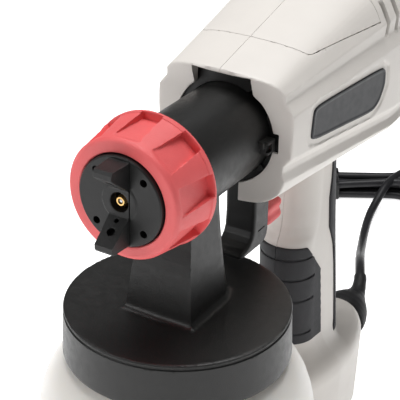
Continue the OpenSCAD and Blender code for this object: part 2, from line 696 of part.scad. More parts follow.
module paint_cup() color([0.93, 0.92, 0.9, 0.8])
  rotate_extrude($fn = 96) polygon([
    [0, 0], [cup_r - 5, 0], [cup_r - 1.4, 2], [cup_r, 6], [cup_r, 88], [cup_r - 0.6, 95],
    [cup_r - 1.9, 101], [cup_r - 4, 107], [cup_r - 7, 112.6], [cup_r - 11, 118], [cup_r - 15, 122],
    [cup_r - 18, 123.6], [49.5, 124.4], [49.5, 130.6], [51.4, 131.2], [51.4, 132.2], [49.5, 132.8],
    [49.5, 137], [51.4, 137.6], [51.4, 138.6], [49.5, 139.2], [49.5, 143],
    [46.5, 143], [46.5, 123],
    [cup_r - 19 - cup_wall, 121.4], [cup_r - 16, 119.6], [cup_r - 12.6, 116.4],
    [cup_r - 9, 111.6], [cup_r - 6.1, 106.2],
    [cup_r - 4, 100.4], [cup_r - 2.7, 94.6], [cup_r - cup_wall, 88], [cup_r - cup_wall, 6.6],
    [cup_r - 3, 3.4], [cup_r - 5.6, cup_wall], [0, cup_wall]]);

module suction_path(r, low) {
  translate([0, 0, 100]) cylinder(r = r, h = 60);
  translate([0, 0, 100]) rotate([27, 0, 0]) translate([0, 0, -low]) cylinder(r = r, h = low);
}
module suction_tube() color([0.85, 0.85, 0.83])
  difference() {
    union() {
      translate([0, 0, 100]) cylinder(r = 4, h = 47.4);
      translate([0, 0, 100]) sphere(r = 5);
      translate([0, 0, 100]) rotate([27, 0, 0]) translate([0, 0, -98]) cylinder(r = 4, h = 98);
      translate([0, 0, 100]) rotate([27, 0, 0]) translate([0, 0, -104]) cylinder(r = 6.2, h = 14);
    }
    suction_path(2.8, 110);
    translate([0, 0, 100]) sphere(r = 3.4);
  }

// ---------- rear cover ----------

module rear_cover() color(blk)
  difference() {
    union() {
      ycyl(31.6, 201.4, 209, zm);
      ycone(31.6, 26, 209, 214, zm);
    }
    ycyl(29.4, 201, 207, zm);
    for (k = [-3:3]) box([-26 + abs(k)*2, 205, zm + 6.4*k - 1.5], [26 - abs(k)*2, 216, zm + 6.4*k + 1.5]);
  }

housing_left();
housing_right();
top_cover();
badge_left();
badge_right();
grip_left();
grip_right();
grip_back();
bayonet_ring();
air_duct();
duct_seal();
fan_housing();
motor_frame();
stator_core();
field_coils();
brush_holders();
carbon_brushes();
front_bearing();
rear_bearing();
front_mount_ring();
rear_mount_ring();
filter_foam();
filter_grille();
switch_body();
trigger_pin();
trigger_spring();
housing_screws();
foot_pads();
inner_lead();
cord_clamp();
cord_boot();
cord_lead();
cord_hank();
cord_tie();
cord_tail();
plug_body();
plug_pins();
motor_shaft();
armature();
commutator();
impeller();
impeller_nut();
trigger();
flow_stud();
flow_knob();
switch_button();
spray_head();
fluid_body();
needle_gland();
fluid_nozzle();
air_guide();
lid_gasket();
vent_valve();
needle_spring();
needle();
union_nut();
air_cap();
paint_cup();
suction_tube();
rear_cover();
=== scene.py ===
import json
import math
import bpy
import numpy as np
from mathutils import Matrix, Vector


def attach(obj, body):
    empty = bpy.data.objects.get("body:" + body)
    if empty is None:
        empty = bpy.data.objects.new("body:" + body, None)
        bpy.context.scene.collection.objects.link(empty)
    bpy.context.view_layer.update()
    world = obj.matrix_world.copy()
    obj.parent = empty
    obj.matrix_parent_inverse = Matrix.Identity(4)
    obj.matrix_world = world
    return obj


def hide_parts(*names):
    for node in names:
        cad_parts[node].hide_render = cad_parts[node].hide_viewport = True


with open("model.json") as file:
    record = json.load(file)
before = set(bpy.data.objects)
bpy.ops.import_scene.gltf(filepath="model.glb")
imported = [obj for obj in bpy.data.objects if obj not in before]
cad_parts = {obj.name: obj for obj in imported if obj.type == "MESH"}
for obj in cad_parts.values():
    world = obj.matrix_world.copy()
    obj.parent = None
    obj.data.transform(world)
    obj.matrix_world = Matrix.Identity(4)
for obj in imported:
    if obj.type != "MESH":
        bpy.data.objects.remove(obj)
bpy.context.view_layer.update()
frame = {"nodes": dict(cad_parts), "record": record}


scene = bpy.context.scene
ZA, ZM = 225.0, 238.0          # heights of the barrel's and the motor's axis, mm

# ------------------------------------------------------------------ camera
AZ, EL, ROLL = math.radians(31.0), math.radians(27.7), math.radians(1.05)
back = Vector((math.sin(AZ) * math.cos(EL), -math.cos(AZ) * math.cos(EL), math.sin(EL)))
right = Vector((math.cos(AZ), math.sin(AZ), 0))
up = back.cross(right)
r2 = math.cos(ROLL) * right + math.sin(ROLL) * up
u2 = -math.sin(ROLL) * right + math.cos(ROLL) * up
cam_data = bpy.data.cameras.new("camera")
cam_data.sensor_width = 36
cam_data.lens = 125.1
cam_data.clip_start, cam_data.clip_end = 0.02, 20
cam = bpy.data.objects.new("camera", cam_data)
scene.collection.objects.link(cam)
m = Matrix((r2, u2, back)).transposed().to_4x4()
m.translation = Vector((0.30176, -0.48328, 0.50411))
cam.matrix_world = m
scene.camera = cam


# ------------------------------------------------------------------ materials
def material(name, color, rough, grain=0.0, grain_scale=2200.0, vary=0.05, vary_scale=45.0,
             metallic=0.0, specular=0.5, coat=0.0, coat_rough=0.2, sss=0.0, transmission=0.0,
             rough_vary=0.05, edge=0.0, ior=1.46, brushed=None):
    mt = bpy.data.materials.new(name)
    mt.use_nodes = True
    nt = mt.node_tree
    nt.nodes.clear()
    out = nt.nodes.new("ShaderNodeOutputMaterial")
    p = nt.nodes.new("ShaderNodeBsdfPrincipled")
    nt.links.new(p.outputs[0], out.inputs[0])
    tc = nt.nodes.new("ShaderNodeTexCoord")
    p.inputs["Metallic"].default_value = metallic
    p.inputs["Specular IOR Level"].default_value = specular
    p.inputs["IOR"].default_value = ior
    p.inputs["Coat Weight"].default_value = coat
    p.inputs["Coat Roughness"].default_value = coat_rough
    if sss:
        p.inputs["Subsurface Weight"].default_value = sss
        p.inputs["Subsurface Radius"].default_value = (0.006, 0.005, 0.004)
        p.inputs["Subsurface Scale"].default_value = 1.0
    p.inputs["Transmission Weight"].default_value = transmission
    src = tc.outputs["Object"]
    if brushed:
        mp = nt.nodes.new("ShaderNodeMapping")
        mp.inputs["Scale"].default_value = brushed
        nt.links.new(src, mp.inputs["Vector"])
        grain_src = mp.outputs[0]
    else:
        grain_src = src

    def noise(scale, detail, source):
        n = nt.nodes.new("ShaderNodeTexNoise")
        n.inputs["Scale"].default_value = scale
        n.inputs["Detail"].default_value = detail
        nt.links.new(source, n.inputs["Vector"])
        return n

    # broad colour variation
    n1 = noise(vary_scale, 3, src)
    ramp = nt.nodes.new("ShaderNodeValToRGB")
    ramp.color_ramp.elements[0].position = 0.32
    ramp.color_ramp.elements[1].position = 0.68
    lo = [max(c * (1 - vary), 0) for c in color]
    hi = [min(c * (1 + vary), 1) for c in color]
    ramp.color_ramp.elements[0].color = (*lo, 1)
    ramp.color_ramp.elements[1].color = (*hi, 1)
    nt.links.new(n1.outputs["Fac"], ramp.inputs["Fac"])
    col = ramp.outputs["Color"]
    if edge:
        # edges painted a little lighter: partly rubbed wear, partly a painted highlight along the edges
        geo = nt.nodes.new("ShaderNodeNewGeometry")
        mr = nt.nodes.new("ShaderNodeMapRange")
        mr.inputs["From Min"].default_value = 0.53
        mr.inputs["From Max"].default_value = 0.62
        mr.inputs["To Max"].default_value = edge
        nt.links.new(geo.outputs["Pointiness"], mr.inputs["Value"])
        mx = nt.nodes.new("ShaderNodeMix")
        mx.data_type = "RGBA"
        mx.inputs["B"].default_value = (*[min(c * 1.6 + 0.05, 1) for c in color], 1)
        nt.links.new(mr.outputs[0], mx.inputs["Factor"])
        nt.links.new(col, mx.inputs["A"])
        col = mx.outputs["Result"]
    nt.links.new(col, p.inputs["Base Color"])
    # uneven gloss
    n2 = noise(vary_scale * 6, 4, src)
    mr2 = nt.nodes.new("ShaderNodeMapRange")
    mr2.inputs["From Min"].default_value = 0.3
    mr2.inputs["From Max"].default_value = 0.7
    mr2.inputs["To Min"].default_value = max(rough - rough_vary, 0.02)
    mr2.inputs["To Max"].default_value = min(rough + rough_vary, 1)
    nt.links.new(n2.outputs["Fac"], mr2.inputs["Value"])
    nt.links.new(mr2.outputs[0], p.inputs["Roughness"])
    # moulded grain
    if grain:
        n3 = noise(grain_scale, 2, grain_src)
        bp = nt.nodes.new("ShaderNodeBump")
        bp.inputs["Strength"].default_value = grain
        bp.inputs["Distance"].default_value = 0.0003
        nt.links.new(n3.outputs["Fac"], bp.inputs["Height"])
        nt.links.new(bp.outputs[0], p.inputs["Normal"])
    return mt


M_SHELL = material("shell_plastic", (0.70, 0.665, 0.625), 0.42, grain=0.10, grain_scale=3200, vary=0.015)
M_BADGE = material("badge_plate", (0.022, 0.023, 0.026), 0.42, grain=0.05, grain_scale=1800, vary=0.06, specular=0.4)
M_GRIP = material("grip_rubber", (0.032, 0.032, 0.035), 0.62, grain=0.45, grain_scale=1500, vary=0.10, specular=0.3)
M_BLACK = material("black_plastic", (0.012, 0.012, 0.012), 0.40, grain=0.28, grain_scale=2600, vary=0.10,
                   specular=0.38, rough_vary=0.07, edge=0.2)
M_LID = material("lid_plastic", (0.011, 0.011, 0.0105), 0.38, grain=0.30, grain_scale=2200, vary=0.12,
                 specular=0.46, rough_vary=0.06, edge=0.25)
M_CAP = material("air_cap_plastic", (0.011, 0.011, 0.011), 0.40, grain=0.40, grain_scale=3000, vary=0.12,
                 specular=0.4, edge=0.3)
M_RED = material("red_plastic", (0.77, 0.108, 0.110), 0.52, grain=0.75, grain_scale=2000, vary=0.06,
                 specular=0.75, edge=0.12)
M_INNER = material("inner_plastic", (0.05, 0.05, 0.053), 0.5, grain=0.2, vary=0.08)
M_NATURAL = material("natural_plastic", (0.74, 0.74, 0.70), 0.38, grain=0.08, vary=0.03, sss=0.15)
M_CUP = material("cup_plastic", (0.78, 0.745, 0.70), 0.33, grain=0.02, grain_scale=700, vary=0.012,
                 vary_scale=25, sss=0.30, specular=0.45, rough_vary=0.02)
M_RUBBER = material("black_rubber", (0.016, 0.016, 0.017), 0.55, grain=0.3, grain_scale=1600, vary=0.12, specular=0.3)
M_GASKET = material("gasket_rubber", (0.33, 0.33, 0.32), 0.6, grain=0.2, vary=0.06)
M_VALVE = material("valve_rubber", (0.5, 0.08, 0.07), 0.5, grain=0.2, vary=0.06)
M_CORD = material("lead_sheath", (0.014, 0.014, 0.016), 0.42, grain=0.18, grain_scale=900, vary=0.12,
                  vary_scale=90, specular=0.35)
M_BRASS = material("brass", (0.78, 0.50, 0.19), 0.24, grain=0.25, grain_scale=600, vary=0.08,
                   metallic=1.0, brushed=(1, 9, 1))
M_COPPER = material("copper", (0.55, 0.20, 0.08), 0.36, grain=0.6, grain_scale=700, vary=0.12,
                    metallic=1.0, brushed=(1, 0.1, 8))
M_STEEL = material("steel", (0.58, 0.58, 0.60), 0.27, grain=0.2, grain_scale=500, vary=0.05,
                   metallic=1.0, brushed=(1, 8, 1))
M_LAMIN = material("lamination", (0.34, 0.32, 0.31), 0.42, grain=0.7, grain_scale=160, vary=0.1,
                   metallic=1.0, brushed=(0.05, 12, 0.05))
M_CARBON = material("carbon", (0.03, 0.03, 0.03), 0.7, grain=0.3, vary=0.15)
M_FOAM = material("foam", (0.10, 0.105, 0.13), 0.95, grain=1.0, grain_scale=900, vary=0.25, vary_scale=500)

SLOTS = {"shell": M_SHELL, "badge": M_BADGE, "grip_rubber": M_GRIP, "black_plastic": M_BLACK,
         "red_plastic": M_RED, "inner_plastic": M_INNER, "natural_plastic": M_NATURAL,
         "cup_plastic": M_CUP, "black_rubber": M_RUBBER, "gasket_rubber": M_GASKET,
         "valve_rubber": M_VALVE, "lead_sheath": M_CORD, "brass": M_BRASS, "copper": M_COPPER,
         "steel": M_STEEL, "lamination": M_LAMIN, "carbon": M_CARBON, "foam": M_FOAM}
for sp in frame["record"]["subparts"]:
    o = frame["nodes"][sp["node"]]
    o.data.materials.clear()
    o.data.materials.append(SLOTS[sp["material_slot"]])
BODY = {n: b for b, ns in frame["record"]["behaviour"]["bodies"].items() for n in ns}


# ------------------------------------------------------------------ mesh helpers
def add_mesh(name, V, faces, mat, nodes=(), body=None, angle=35.0):
    """V in millimetres. Quads as an (n,4) array, or a list of faces."""
    me = bpy.data.meshes.new(name)
    V = np.asarray(V, float) / 1000.0
    if isinstance(faces, np.ndarray):
        me.vertices.add(len(V))
        me.vertices.foreach_set("co", V.astype(np.float32).ravel())
        me.loops.add(faces.size)
        me.loops.foreach_set("vertex_index", faces.astype(np.int32).ravel())
        me.polygons.add(len(faces))
        me.polygons.foreach_set("loop_start", (np.arange(len(faces)) * faces.shape[1]).astype(np.int32))
        me.update(calc_edges=True)
    else:
        me.from_pydata([tuple(v) for v in V], [], faces)
        me.update()
    me.validate()
    me.polygons.foreach_set("use_smooth", np.ones(len(me.polygons), bool))
    me.set_sharp_from_angle(angle=math.radians(angle))
    me.materials.append(mat)
    ob = bpy.data.objects.new(name, me)
    scene.collection.objects.link(ob)
    if nodes:
        body = BODY[nodes[0]]
    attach(ob, body)
    if nodes:
        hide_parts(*nodes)
    return ob


def smin(a, b, k):
    h = np.maximum(k - np.abs(a - b), 0) / k
    return np.minimum(a, b) - h * h * k * 0.25


def smax(a, b, k):
    return -smin(-a, -b, k)


def box3(x, y, z, lo, hi, r=0.0):
    """Distance to a box with edges of radius r."""
    cx, cy, cz = [(lo[i] + hi[i]) / 2 for i in range(3)]
    hx, hy, hz = [(hi[i] - lo[i]) / 2 - r for i in range(3)]
    dx, dy, dz = np.abs(x - cx) - hx, np.abs(y - cy) - hy, np.abs(z - cz) - hz
    o = np.sqrt(np.maximum(dx, 0) ** 2 + np.maximum(dy, 0) ** 2 + np.maximum(dz, 0) ** 2)
    return o + np.minimum(np.maximum(dx, np.maximum(dy, dz)), 0) - r


def ycylinder(x, y, z, r, y0, y1, x0=0.0, z0=ZA):
    return np.maximum(np.hypot(x - x0, z - z0) - r, np.maximum(y0 - y, y - y1))


def polygon_sdf(u, v, P):
    """Signed distance to a closed 2-D polygon, negative inside."""
    P = np.asarray(P, float)
    d2 = np.full(u.shape, 1e18)
    sgn = np.ones(u.shape)
    n = len(P)
    for i in range(n):
        a, b = P[i], P[(i + 1) % n]
        ex, ey = b - a
        wx, wy = u - a[0], v - a[1]
        t = np.clip((wx * ex + wy * ey) / (ex * ex + ey * ey + 1e-12), 0, 1)
        d2 = np.minimum(d2, (wx - ex * t) ** 2 + (wy - ey * t) ** 2)
        c1, c2, c3 = v >= a[1], v < b[1], ex * wy > ey * wx
        flip = (c1 & c2 & c3) | (~c1 & ~c2 & ~c3)
        sgn = np.where(flip, -sgn, sgn)
    return sgn * np.sqrt(d2)


def section_sdf(u, v, w, keys, polys):
    """As polygon_sdf, for a half outline that changes along w. Its first and last points lie on
    u = 0, and that closing line isn't part of the surface."""
    out = np.empty(u.shape)
    wc = np.clip(w, keys[0], keys[-1])
    idx = np.clip(np.searchsorted(keys, wc, "right") - 1, 0, len(keys) - 2)
    for k in range(len(keys) - 1):
        sel = idx == k
        if not sel.any():
            continue
        U, W = u[sel], v[sel]
        t = (wc[sel] - keys[k]) / (keys[k + 1] - keys[k])
        A, B = polys[k], polys[k + 1]
        d2 = np.full(U.shape, 1e18)
        sgn = np.ones(U.shape)
        n = A.shape[0]
        for i in range(n):
            j = (i + 1) % n
            a0 = A[i, 0] + (B[i, 0] - A[i, 0]) * t
            a1 = A[i, 1] + (B[i, 1] - A[i, 1]) * t
            b0 = A[j, 0] + (B[j, 0] - A[j, 0]) * t
            b1 = A[j, 1] + (B[j, 1] - A[j, 1]) * t
            ex, ey = b0 - a0, b1 - a1
            wx, wy = U - a0, W - a1
            if i < n - 1:
                s = np.clip((wx * ex + wy * ey) / (ex * ex + ey * ey + 1e-12), 0, 1)
                d2 = np.minimum(d2, (wx - ex * s) ** 2 + (wy - ey * s) ** 2)
            c1, c2, c3 = W >= a1, W < b1, ex * wy > ey * wx
            flip = (c1 & c2 & c3) | (~c1 & ~c2 & ~c3)
            sgn = np.where(flip, -sgn, sgn)
        out[sel] = sgn * np.sqrt(d2)
    return out


def chaikin(P, rounds, sharp=()):
    """Corner cutting on an open outline that keeps its ends. Corners in sharp stay tight: they
    get a neighbour 1 mm away on each side."""
    Q = [P[0]]
    for i in range(1, len(P) - 1):
        if i in sharp:
            for o, q in ((P[i - 1], 1), (P[i], 0), (P[i + 1], 1)):
                if q:
                    e = o - P[i]
                    Q.append(P[i] + e * min(sharp[i] / max(np.linalg.norm(e), 1e-9), 0.4))
                else:
                    Q.append(P[i])
        else:
            Q.append(P[i])
    Q.append(P[-1])
    Q = np.array(Q)
    for _ in range(rounds):
        a, b = Q[:-1], Q[1:]
        mid = np.empty((2 * len(a), 2))
        mid[0::2] = a * 0.75 + b * 0.25
        mid[1::2] = a * 0.25 + b * 0.75
        mid[0], mid[-1] = Q[0], Q[-1]
        Q = mid
    return Q


def resample(keys, polys, new):
    """Smooth (Hermite) interpolation of key outlines at more places."""
    keys, polys = np.array(keys, float), np.array(polys, float)
    tan = np.empty_like(polys)
    tan[1:-1] = ((polys[2:] - polys[:-2]).T / (keys[2:] - keys[:-2])).T
    tan[0] = (polys[1] - polys[0]) / (keys[1] - keys[0])
    tan[-1] = (polys[-1] - polys[-2]) / (keys[-1] - keys[-2])
    res = []
    for w in new:
        k = int(np.clip(np.searchsorted(keys, w, "right") - 1, 0, len(keys) - 2))
        L = keys[k + 1] - keys[k]
        t = (w - keys[k]) / L
        res.append((2*t**3 - 3*t**2 + 1) * polys[k] + (t**3 - 2*t**2 + t) * L * tan[k]
                   + (-2*t**3 + 3*t**2) * polys[k + 1] + (t**3 - t**2) * L * tan[k + 1])
    return np.array(new, float), np.array(res)


def contour(f, lo, hi, h, lam=0.04):
    """Dual contouring of f(x, y, z) = 0: quads with true edges and smooth faces."""
    lo = np.array(lo, float) - 1.37 * h
    hi = np.array(hi, float) + 1.71 * h
    B = 8
    nb = np.ceil(((hi - lo) / h + 1) / B).astype(int)
    n = nb * B
    ax = [lo[i] + h * (np.arange(nb[i]) * B + (B - 1) / 2) for i in range(3)]
    C = np.stack(np.meshgrid(*ax, indexing="ij"), -1).reshape(-1, 3)
    d = f(C[:, 0], C[:, 1], C[:, 2])
    F = np.repeat(np.repeat(np.repeat(np.where(d < 0, -9.0, 9.0).reshape(nb), B, 0), B, 1), B, 2)
    near = np.nonzero(np.abs(d) < h * B / 2 * math.sqrt(3) * 1.3 + h)[0]
    offs = np.indices((B, B, B)).reshape(3, -1).T
    for chunk in np.array_split(near, max(1, len(near) // 300)):
        bi = np.stack(np.unravel_index(chunk, nb), -1)
        g = bi[:, None, :] * B + offs[None]
        P = lo + h * g
        v = f(P[..., 0].ravel(), P[..., 1].ravel(), P[..., 2].ravel())
        F[g[..., 0], g[..., 1], g[..., 2]] = v.reshape(g.shape[:2])
    S = F < 0
    pts, nrm, cells, quads = [], [], [], []
    for a in range(3):
        s0, s1 = [slice(None)] * 3, [slice(None)] * 3
        s0[a], s1[a] = slice(0, -1), slice(1, None)
        I = np.argwhere(S[tuple(s0)] != S[tuple(s1)])
        b, c = (a + 1) % 3, (a + 2) % 3
        I = I[(I[:, b] > 0) & (I[:, c] > 0) & (I[:, b] < n[b] - 1) & (I[:, c] < n[c] - 1)]
        if not len(I):
            continue
        J = I.copy()
        J[:, a] += 1
        f0, f1 = F[tuple(I.T)], F[tuple(J.T)]
        t0, t1 = np.zeros(len(I)), np.ones(len(I))
        base = lo + h * I
        for _ in range(3):
            t = np.clip(t0 + (t1 - t0) * f0 / (f0 - f1), t0 + 0.02 * (t1 - t0), t1 - 0.02 * (t1 - t0))
            p = base.copy()
            p[:, a] += h * t
            fv = f(p[:, 0], p[:, 1], p[:, 2])
            same = (fv < 0) == (f0 < 0)
            t0, f0 = np.where(same, t, t0), np.where(same, fv, f0)
            t1, f1 = np.where(same, t1, t), np.where(same, f1, fv)
        t = t0 + (t1 - t0) * f0 / (f0 - f1)
        p = base.copy()
        p[:, a] += h * t
        e = 0.02
        g = np.stack([f(p[:, 0] + e, p[:, 1], p[:, 2]) - f(p[:, 0] - e, p[:, 1], p[:, 2]),
                      f(p[:, 0], p[:, 1] + e, p[:, 2]) - f(p[:, 0], p[:, 1] - e, p[:, 2]),
                      f(p[:, 0], p[:, 1], p[:, 2] + e) - f(p[:, 0], p[:, 1], p[:, 2] - e)], -1)
        g /= np.linalg.norm(g, axis=1)[:, None] + 1e-12
        eb, ec = np.eye(3, dtype=int)[b], np.eye(3, dtype=int)[c]
        four = [I - eb - ec, I - ec, I, I - eb]
        ids = np.stack([np.ravel_multi_index(tuple(q.T), n) for q in four], -1)
        inside = S[tuple(I.T)]
        quads.append(np.where(inside[:, None], ids, ids[:, ::-1]))
        for q in range(4):
            pts.append(p)
            nrm.append(g)
            cells.append(ids[:, q])
    P, N, cid, Q = np.concatenate(pts), np.concatenate(nrm), np.concatenate(cells), np.concatenate(quads)
    uniq, inv = np.unique(cid, return_inverse=True)
    m_ = len(uniq)
    cnt = np.bincount(inv, minlength=m_)
    mean = np.stack([np.bincount(inv, weights=P[:, k], minlength=m_) for k in range(3)], -1) / cnt[:, None]
    rel = P - mean[inv]
    nd = (N * rel).sum(1)
    A = np.zeros((m_, 3, 3))
    bb = np.zeros((m_, 3))
    for i in range(3):
        bb[:, i] = np.bincount(inv, weights=N[:, i] * nd, minlength=m_)
        for j in range(i, 3):
            A[:, i, j] = A[:, j, i] = np.bincount(inv, weights=N[:, i] * N[:, j], minlength=m_)
    A += np.eye(3) * lam
    X = np.linalg.solve(A, bb[..., None])[..., 0] + mean
    cell = np.stack(np.unravel_index(uniq, n), -1)
    c0 = lo + h * cell
    X = np.clip(X, c0, c0 + h)
    remap = np.searchsorted(uniq, Q)
    return X, remap


def lathe(name, prof, mat, nodes=(), body=None, axis="y", segs=128, closed=True, angle=30.0):
    """Turns [radius, height] points around the barrel's axis (y) or the cup's axis (z)."""
    prof = np.array(prof, float)
    a = np.linspace(0, 2 * math.pi, segs, endpoint=False)
    r, hgt = prof[:, 0][:, None], prof[:, 1][:, None] + 0 * a[None]
    if axis == "y":
        V = np.stack([r * np.sin(a), hgt, ZA + r * np.cos(a)], -1)
    else:
        V = np.stack([r * np.cos(a), r * np.sin(a), hgt], -1)
    n = len(prof)
    V = V.reshape(-1, 3)
    faces = []
    for i in range(n if closed else n - 1):
        j = (i + 1) % n
        for k in range(segs):
            k2 = (k + 1) % segs
            faces.append((i * segs + k, i * segs + k2, j * segs + k2, j * segs + k))
    if not closed:
        faces.append(tuple(range(segs))[::-1])
        faces.append(tuple((n - 1) * segs + k for k in range(segs)))
    ob = add_mesh(name, V, faces, mat, nodes, body, angle)
    fix_normals(ob)
    return ob


def fix_normals(ob):
    import bmesh
    bm = bmesh.new()
    bm.from_mesh(ob.data)
    bmesh.ops.recalc_face_normals(bm, faces=bm.faces)
    bm.to_mesh(ob.data)
    bm.free()


def tube(path, radii, sides=24):
    """Rings around a path: vertices and faces, capped."""
    path = np.array(path, float)
    n = len(path)
    tan = np.gradient(path, axis=0)
    tan /= np.linalg.norm(tan, axis=1)[:, None]
    s = np.array([1.0, 0, 0])
    V = []
    for i in range(n):
        s = s - (s @ tan[i]) * tan[i]
        s /= np.linalg.norm(s)
        t = np.cross(tan[i], s)
        for k in range(sides):
            a = 2 * math.pi * k / sides
            V.append(path[i] + radii[i] * (math.cos(a) * s + math.sin(a) * t))
    faces = [(i * sides + k, i * sides + (k + 1) % sides, (i + 1) * sides + (k + 1) % sides, (i + 1) * sides + k)
             for i in range(n - 1) for k in range(sides)]
    faces.append(tuple(range(sides))[::-1])
    faces.append(tuple((n - 1) * sides + k for k in range(sides)))
    return V, faces


def catmull(pts, m_):
    """A smooth path through points, m_ steps a span."""
    p = np.array(pts, float)
    res = []
    for i in range(len(p) - 1):
        a, b, c, d = p[max(i - 1, 0)], p[i], p[i + 1], p[min(i + 2, len(p) - 1)]
        for j in range(m_):
            u = j / m_
            res.append(0.5 * (2*b + (c - a)*u + (2*a - 5*b + 4*c - d)*u*u + (3*b - 3*c + d - a)*u**3))
    res.append(p[-1])
    return np.array(res)


# ------------------------------------------------------------------ the mains lead
D = 6.2
HC, HT = np.array([-92.0, 422.0]), math.radians(31)


def hank_world(u, v, z):
    return [HC[0] + u * math.cos(HT) - v * math.sin(HT), HC[1] + u * math.sin(HT) + v * math.cos(HT), z]


def lane(q):
    """One turn of the bundle, clockwise from its far middle: 0 is the inner lane, 1 the outer.
    Each point is (u, v, angle on the right-hand end or None)."""
    R, vl, R2 = 19.4 + D * q, 3.1 + D * q, 19.4
    k = math.sqrt((R + R2) ** 2 - (vl + R2) ** 2)
    u0 = 55 - k
    al = math.acos((vl + R2) / (R + R2))
    pts = []
    for i in range(6):                                  # far side, straight
        pts.append((u0 * i / 6, vl, None))
    for i in range(10):                                 # opens towards the right-hand end
        a = al * i / 10
        pts.append((u0 + R2 * math.sin(a), vl + R2 - R2 * math.cos(a), None))
    for i in range(48):                                 # round the right-hand end
        ph = math.pi / 2 + al - (math.pi + 2 * al) * i / 48
        pts.append((55 + R * math.cos(ph), R * math.sin(ph), ph))
    for i in range(10):
        a = al * (1 - i / 10)
        pts.append((u0 + R2 * math.sin(a), -(vl + R2 - R2 * math.cos(a)), None))
    for i in range(6):
        pts.append((u0 * (1 - i / 6), -vl, None))
    half = [(-u, -v, None) for u, v, _ in pts]
    return pts + half


LIN, LOUT = lane(0), lane(1)
NT = len(LIN)


def step(x, a, b):
    t = min(max((x - a) / (b - a), 0), 1)
    return t * t * (3 - 2 * t)


lead_pts = [[-2.2, 222.5, 48.6], [-6, 230, 50.5], [-11, 240.5, 49.5], [-16.7, 253, 45], [-23, 267.5, 37],
            [-30, 284, 27.5], [-37.5, 301, 19], [-44.5, 317.5, 12], [-51, 334, 7], [-57, 349, 4.2],
            [-62, 363, 3.2], [-66.2, 376, 3.3], [-68.8, 386.5, 4.2], [-70, 395, 6.2], [-70.2, 403, 9.6],
            [-70.1, 411, 13.4], [-70.2, 419, 15.6], [-70.1, 428, 15.6], [-69.1, 438, 15.5], [-66, 448, 15.5]]
cord_pts = list(catmull(lead_pts, 4))
# four turns of the bundle, from the top down; it changes lanes round the ends and layers along
# the straight runs, so that no bend gets tighter than the inner lane's
LOUT2 = lane(2)
first = next(i for i in range(NT) if LIN[i][2] is not None and LIN[i][2] < math.radians(122))
for turn in range(5):
    for i in range(NT):
        if turn == 0 and i <= first:
            continue
        if turn == 0:
            q, z = step(i, 18, 62), 15.5 - 6.2 * step(i, 62, 100)
        elif turn == 1:
            q, z = 1 - step(i, 14, 62), 9.3 - 6.2 * step(i, 140, 174)
        elif turn == 2:
            q, z = step(i, 96, 143), 9.3 - 6.2 * step(i + 160, 140, 174)
        elif turn == 3:
            q, z = 1 + step(i, 92, 147), 3.1
        else:
            q, z = 2, 3.1
            if LIN[i][2] is not None and LIN[i][2] < math.radians(92):
                break
        a, b = (LIN[i], LOUT[i]) if q <= 1 else (LOUT[i], LOUT2[i])
        t = q if q <= 1 else q - 1
        cord_pts.append(np.array(hank_world(a[0] * (1 - t) + b[0] * t, a[1] * (1 - t) + b[1] * t, z)))
cord_pts += list(catmull([cord_pts[-1], [-50.5, 482, 3.3], [-39.5, 486.3, 4.4], [-28, 489, 6.8], [-17, 489.8, 10],
                          [-6, 489.3, 12.6], [4, 489, 13], [9, 489, 13]], 4)[1:])
cord_pts = np.array(cord_pts)
# even spacing, and the corners of the joins eased
seg = np.linalg.norm(np.diff(cord_pts, axis=0), axis=1)
keep = np.concatenate([[True], seg > 0.3])
cord_pts = cord_pts[keep]
for _ in range(8):
    cord_pts[1:-1] = 0.25 * cord_pts[:-2] + 0.5 * cord_pts[1:-1] + 0.25 * cord_pts[2:]
cord_pts[:, 2] = np.maximum(cord_pts[:, 2], D / 2)
cu = bpy.data.curves.new("mains_lead", "CURVE")
cu.dimensions = "3D"
cu.bevel_depth = D / 2000
cu.bevel_resolution = 5
cu.use_fill_caps = True
sp = cu.splines.new("POLY")
sp.points.add(len(cord_pts) - 1)
for pt, c in zip(sp.points, cord_pts):
    pt.co = (c[0] / 1000, c[1] / 1000, c[2] / 1000, 1)
sp.use_smooth = True
cu.materials.append(M_CORD)
lead = bpy.data.objects.new("mains_lead", cu)
scene.collection.objects.link(lead)
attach(lead, "housing")
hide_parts("cord_lead", "cord_hank", "cord_tail")


# the tie: a flat strap with a raised lock, round the middle of the bundle
def tie():
    def f(x, y, z):
        u = (x - HC[0]) * math.cos(HT) + (y - HC[1]) * math.sin(HT)
        v = -(x - HC[0]) * math.sin(HT) + (y - HC[1]) * math.cos(HT)
        o = box3(u, v, z, (-26, -13.9, 0.0), (-20, 13.9, 13.8), 1.2)
        i = box3(u, v, z, (-30, -12.6, 0.7), (-16, 12.6, 12.6), 1.5)
        d = smax(o, -i, 0.3)
        lock = box3(u, v, z, (-26.6, 6.5, 13.0), (-19.4, 11.5, 15.6), 0.8)
        return smin(d, lock, 0.5)
    return contour(f, (-124, 393, 0), (-96, 428, 16), 0.6)


V, Q = tie()
tie_ob = add_mesh("bundle_tie", V, Q, M_BLACK, ["cord_tie"])


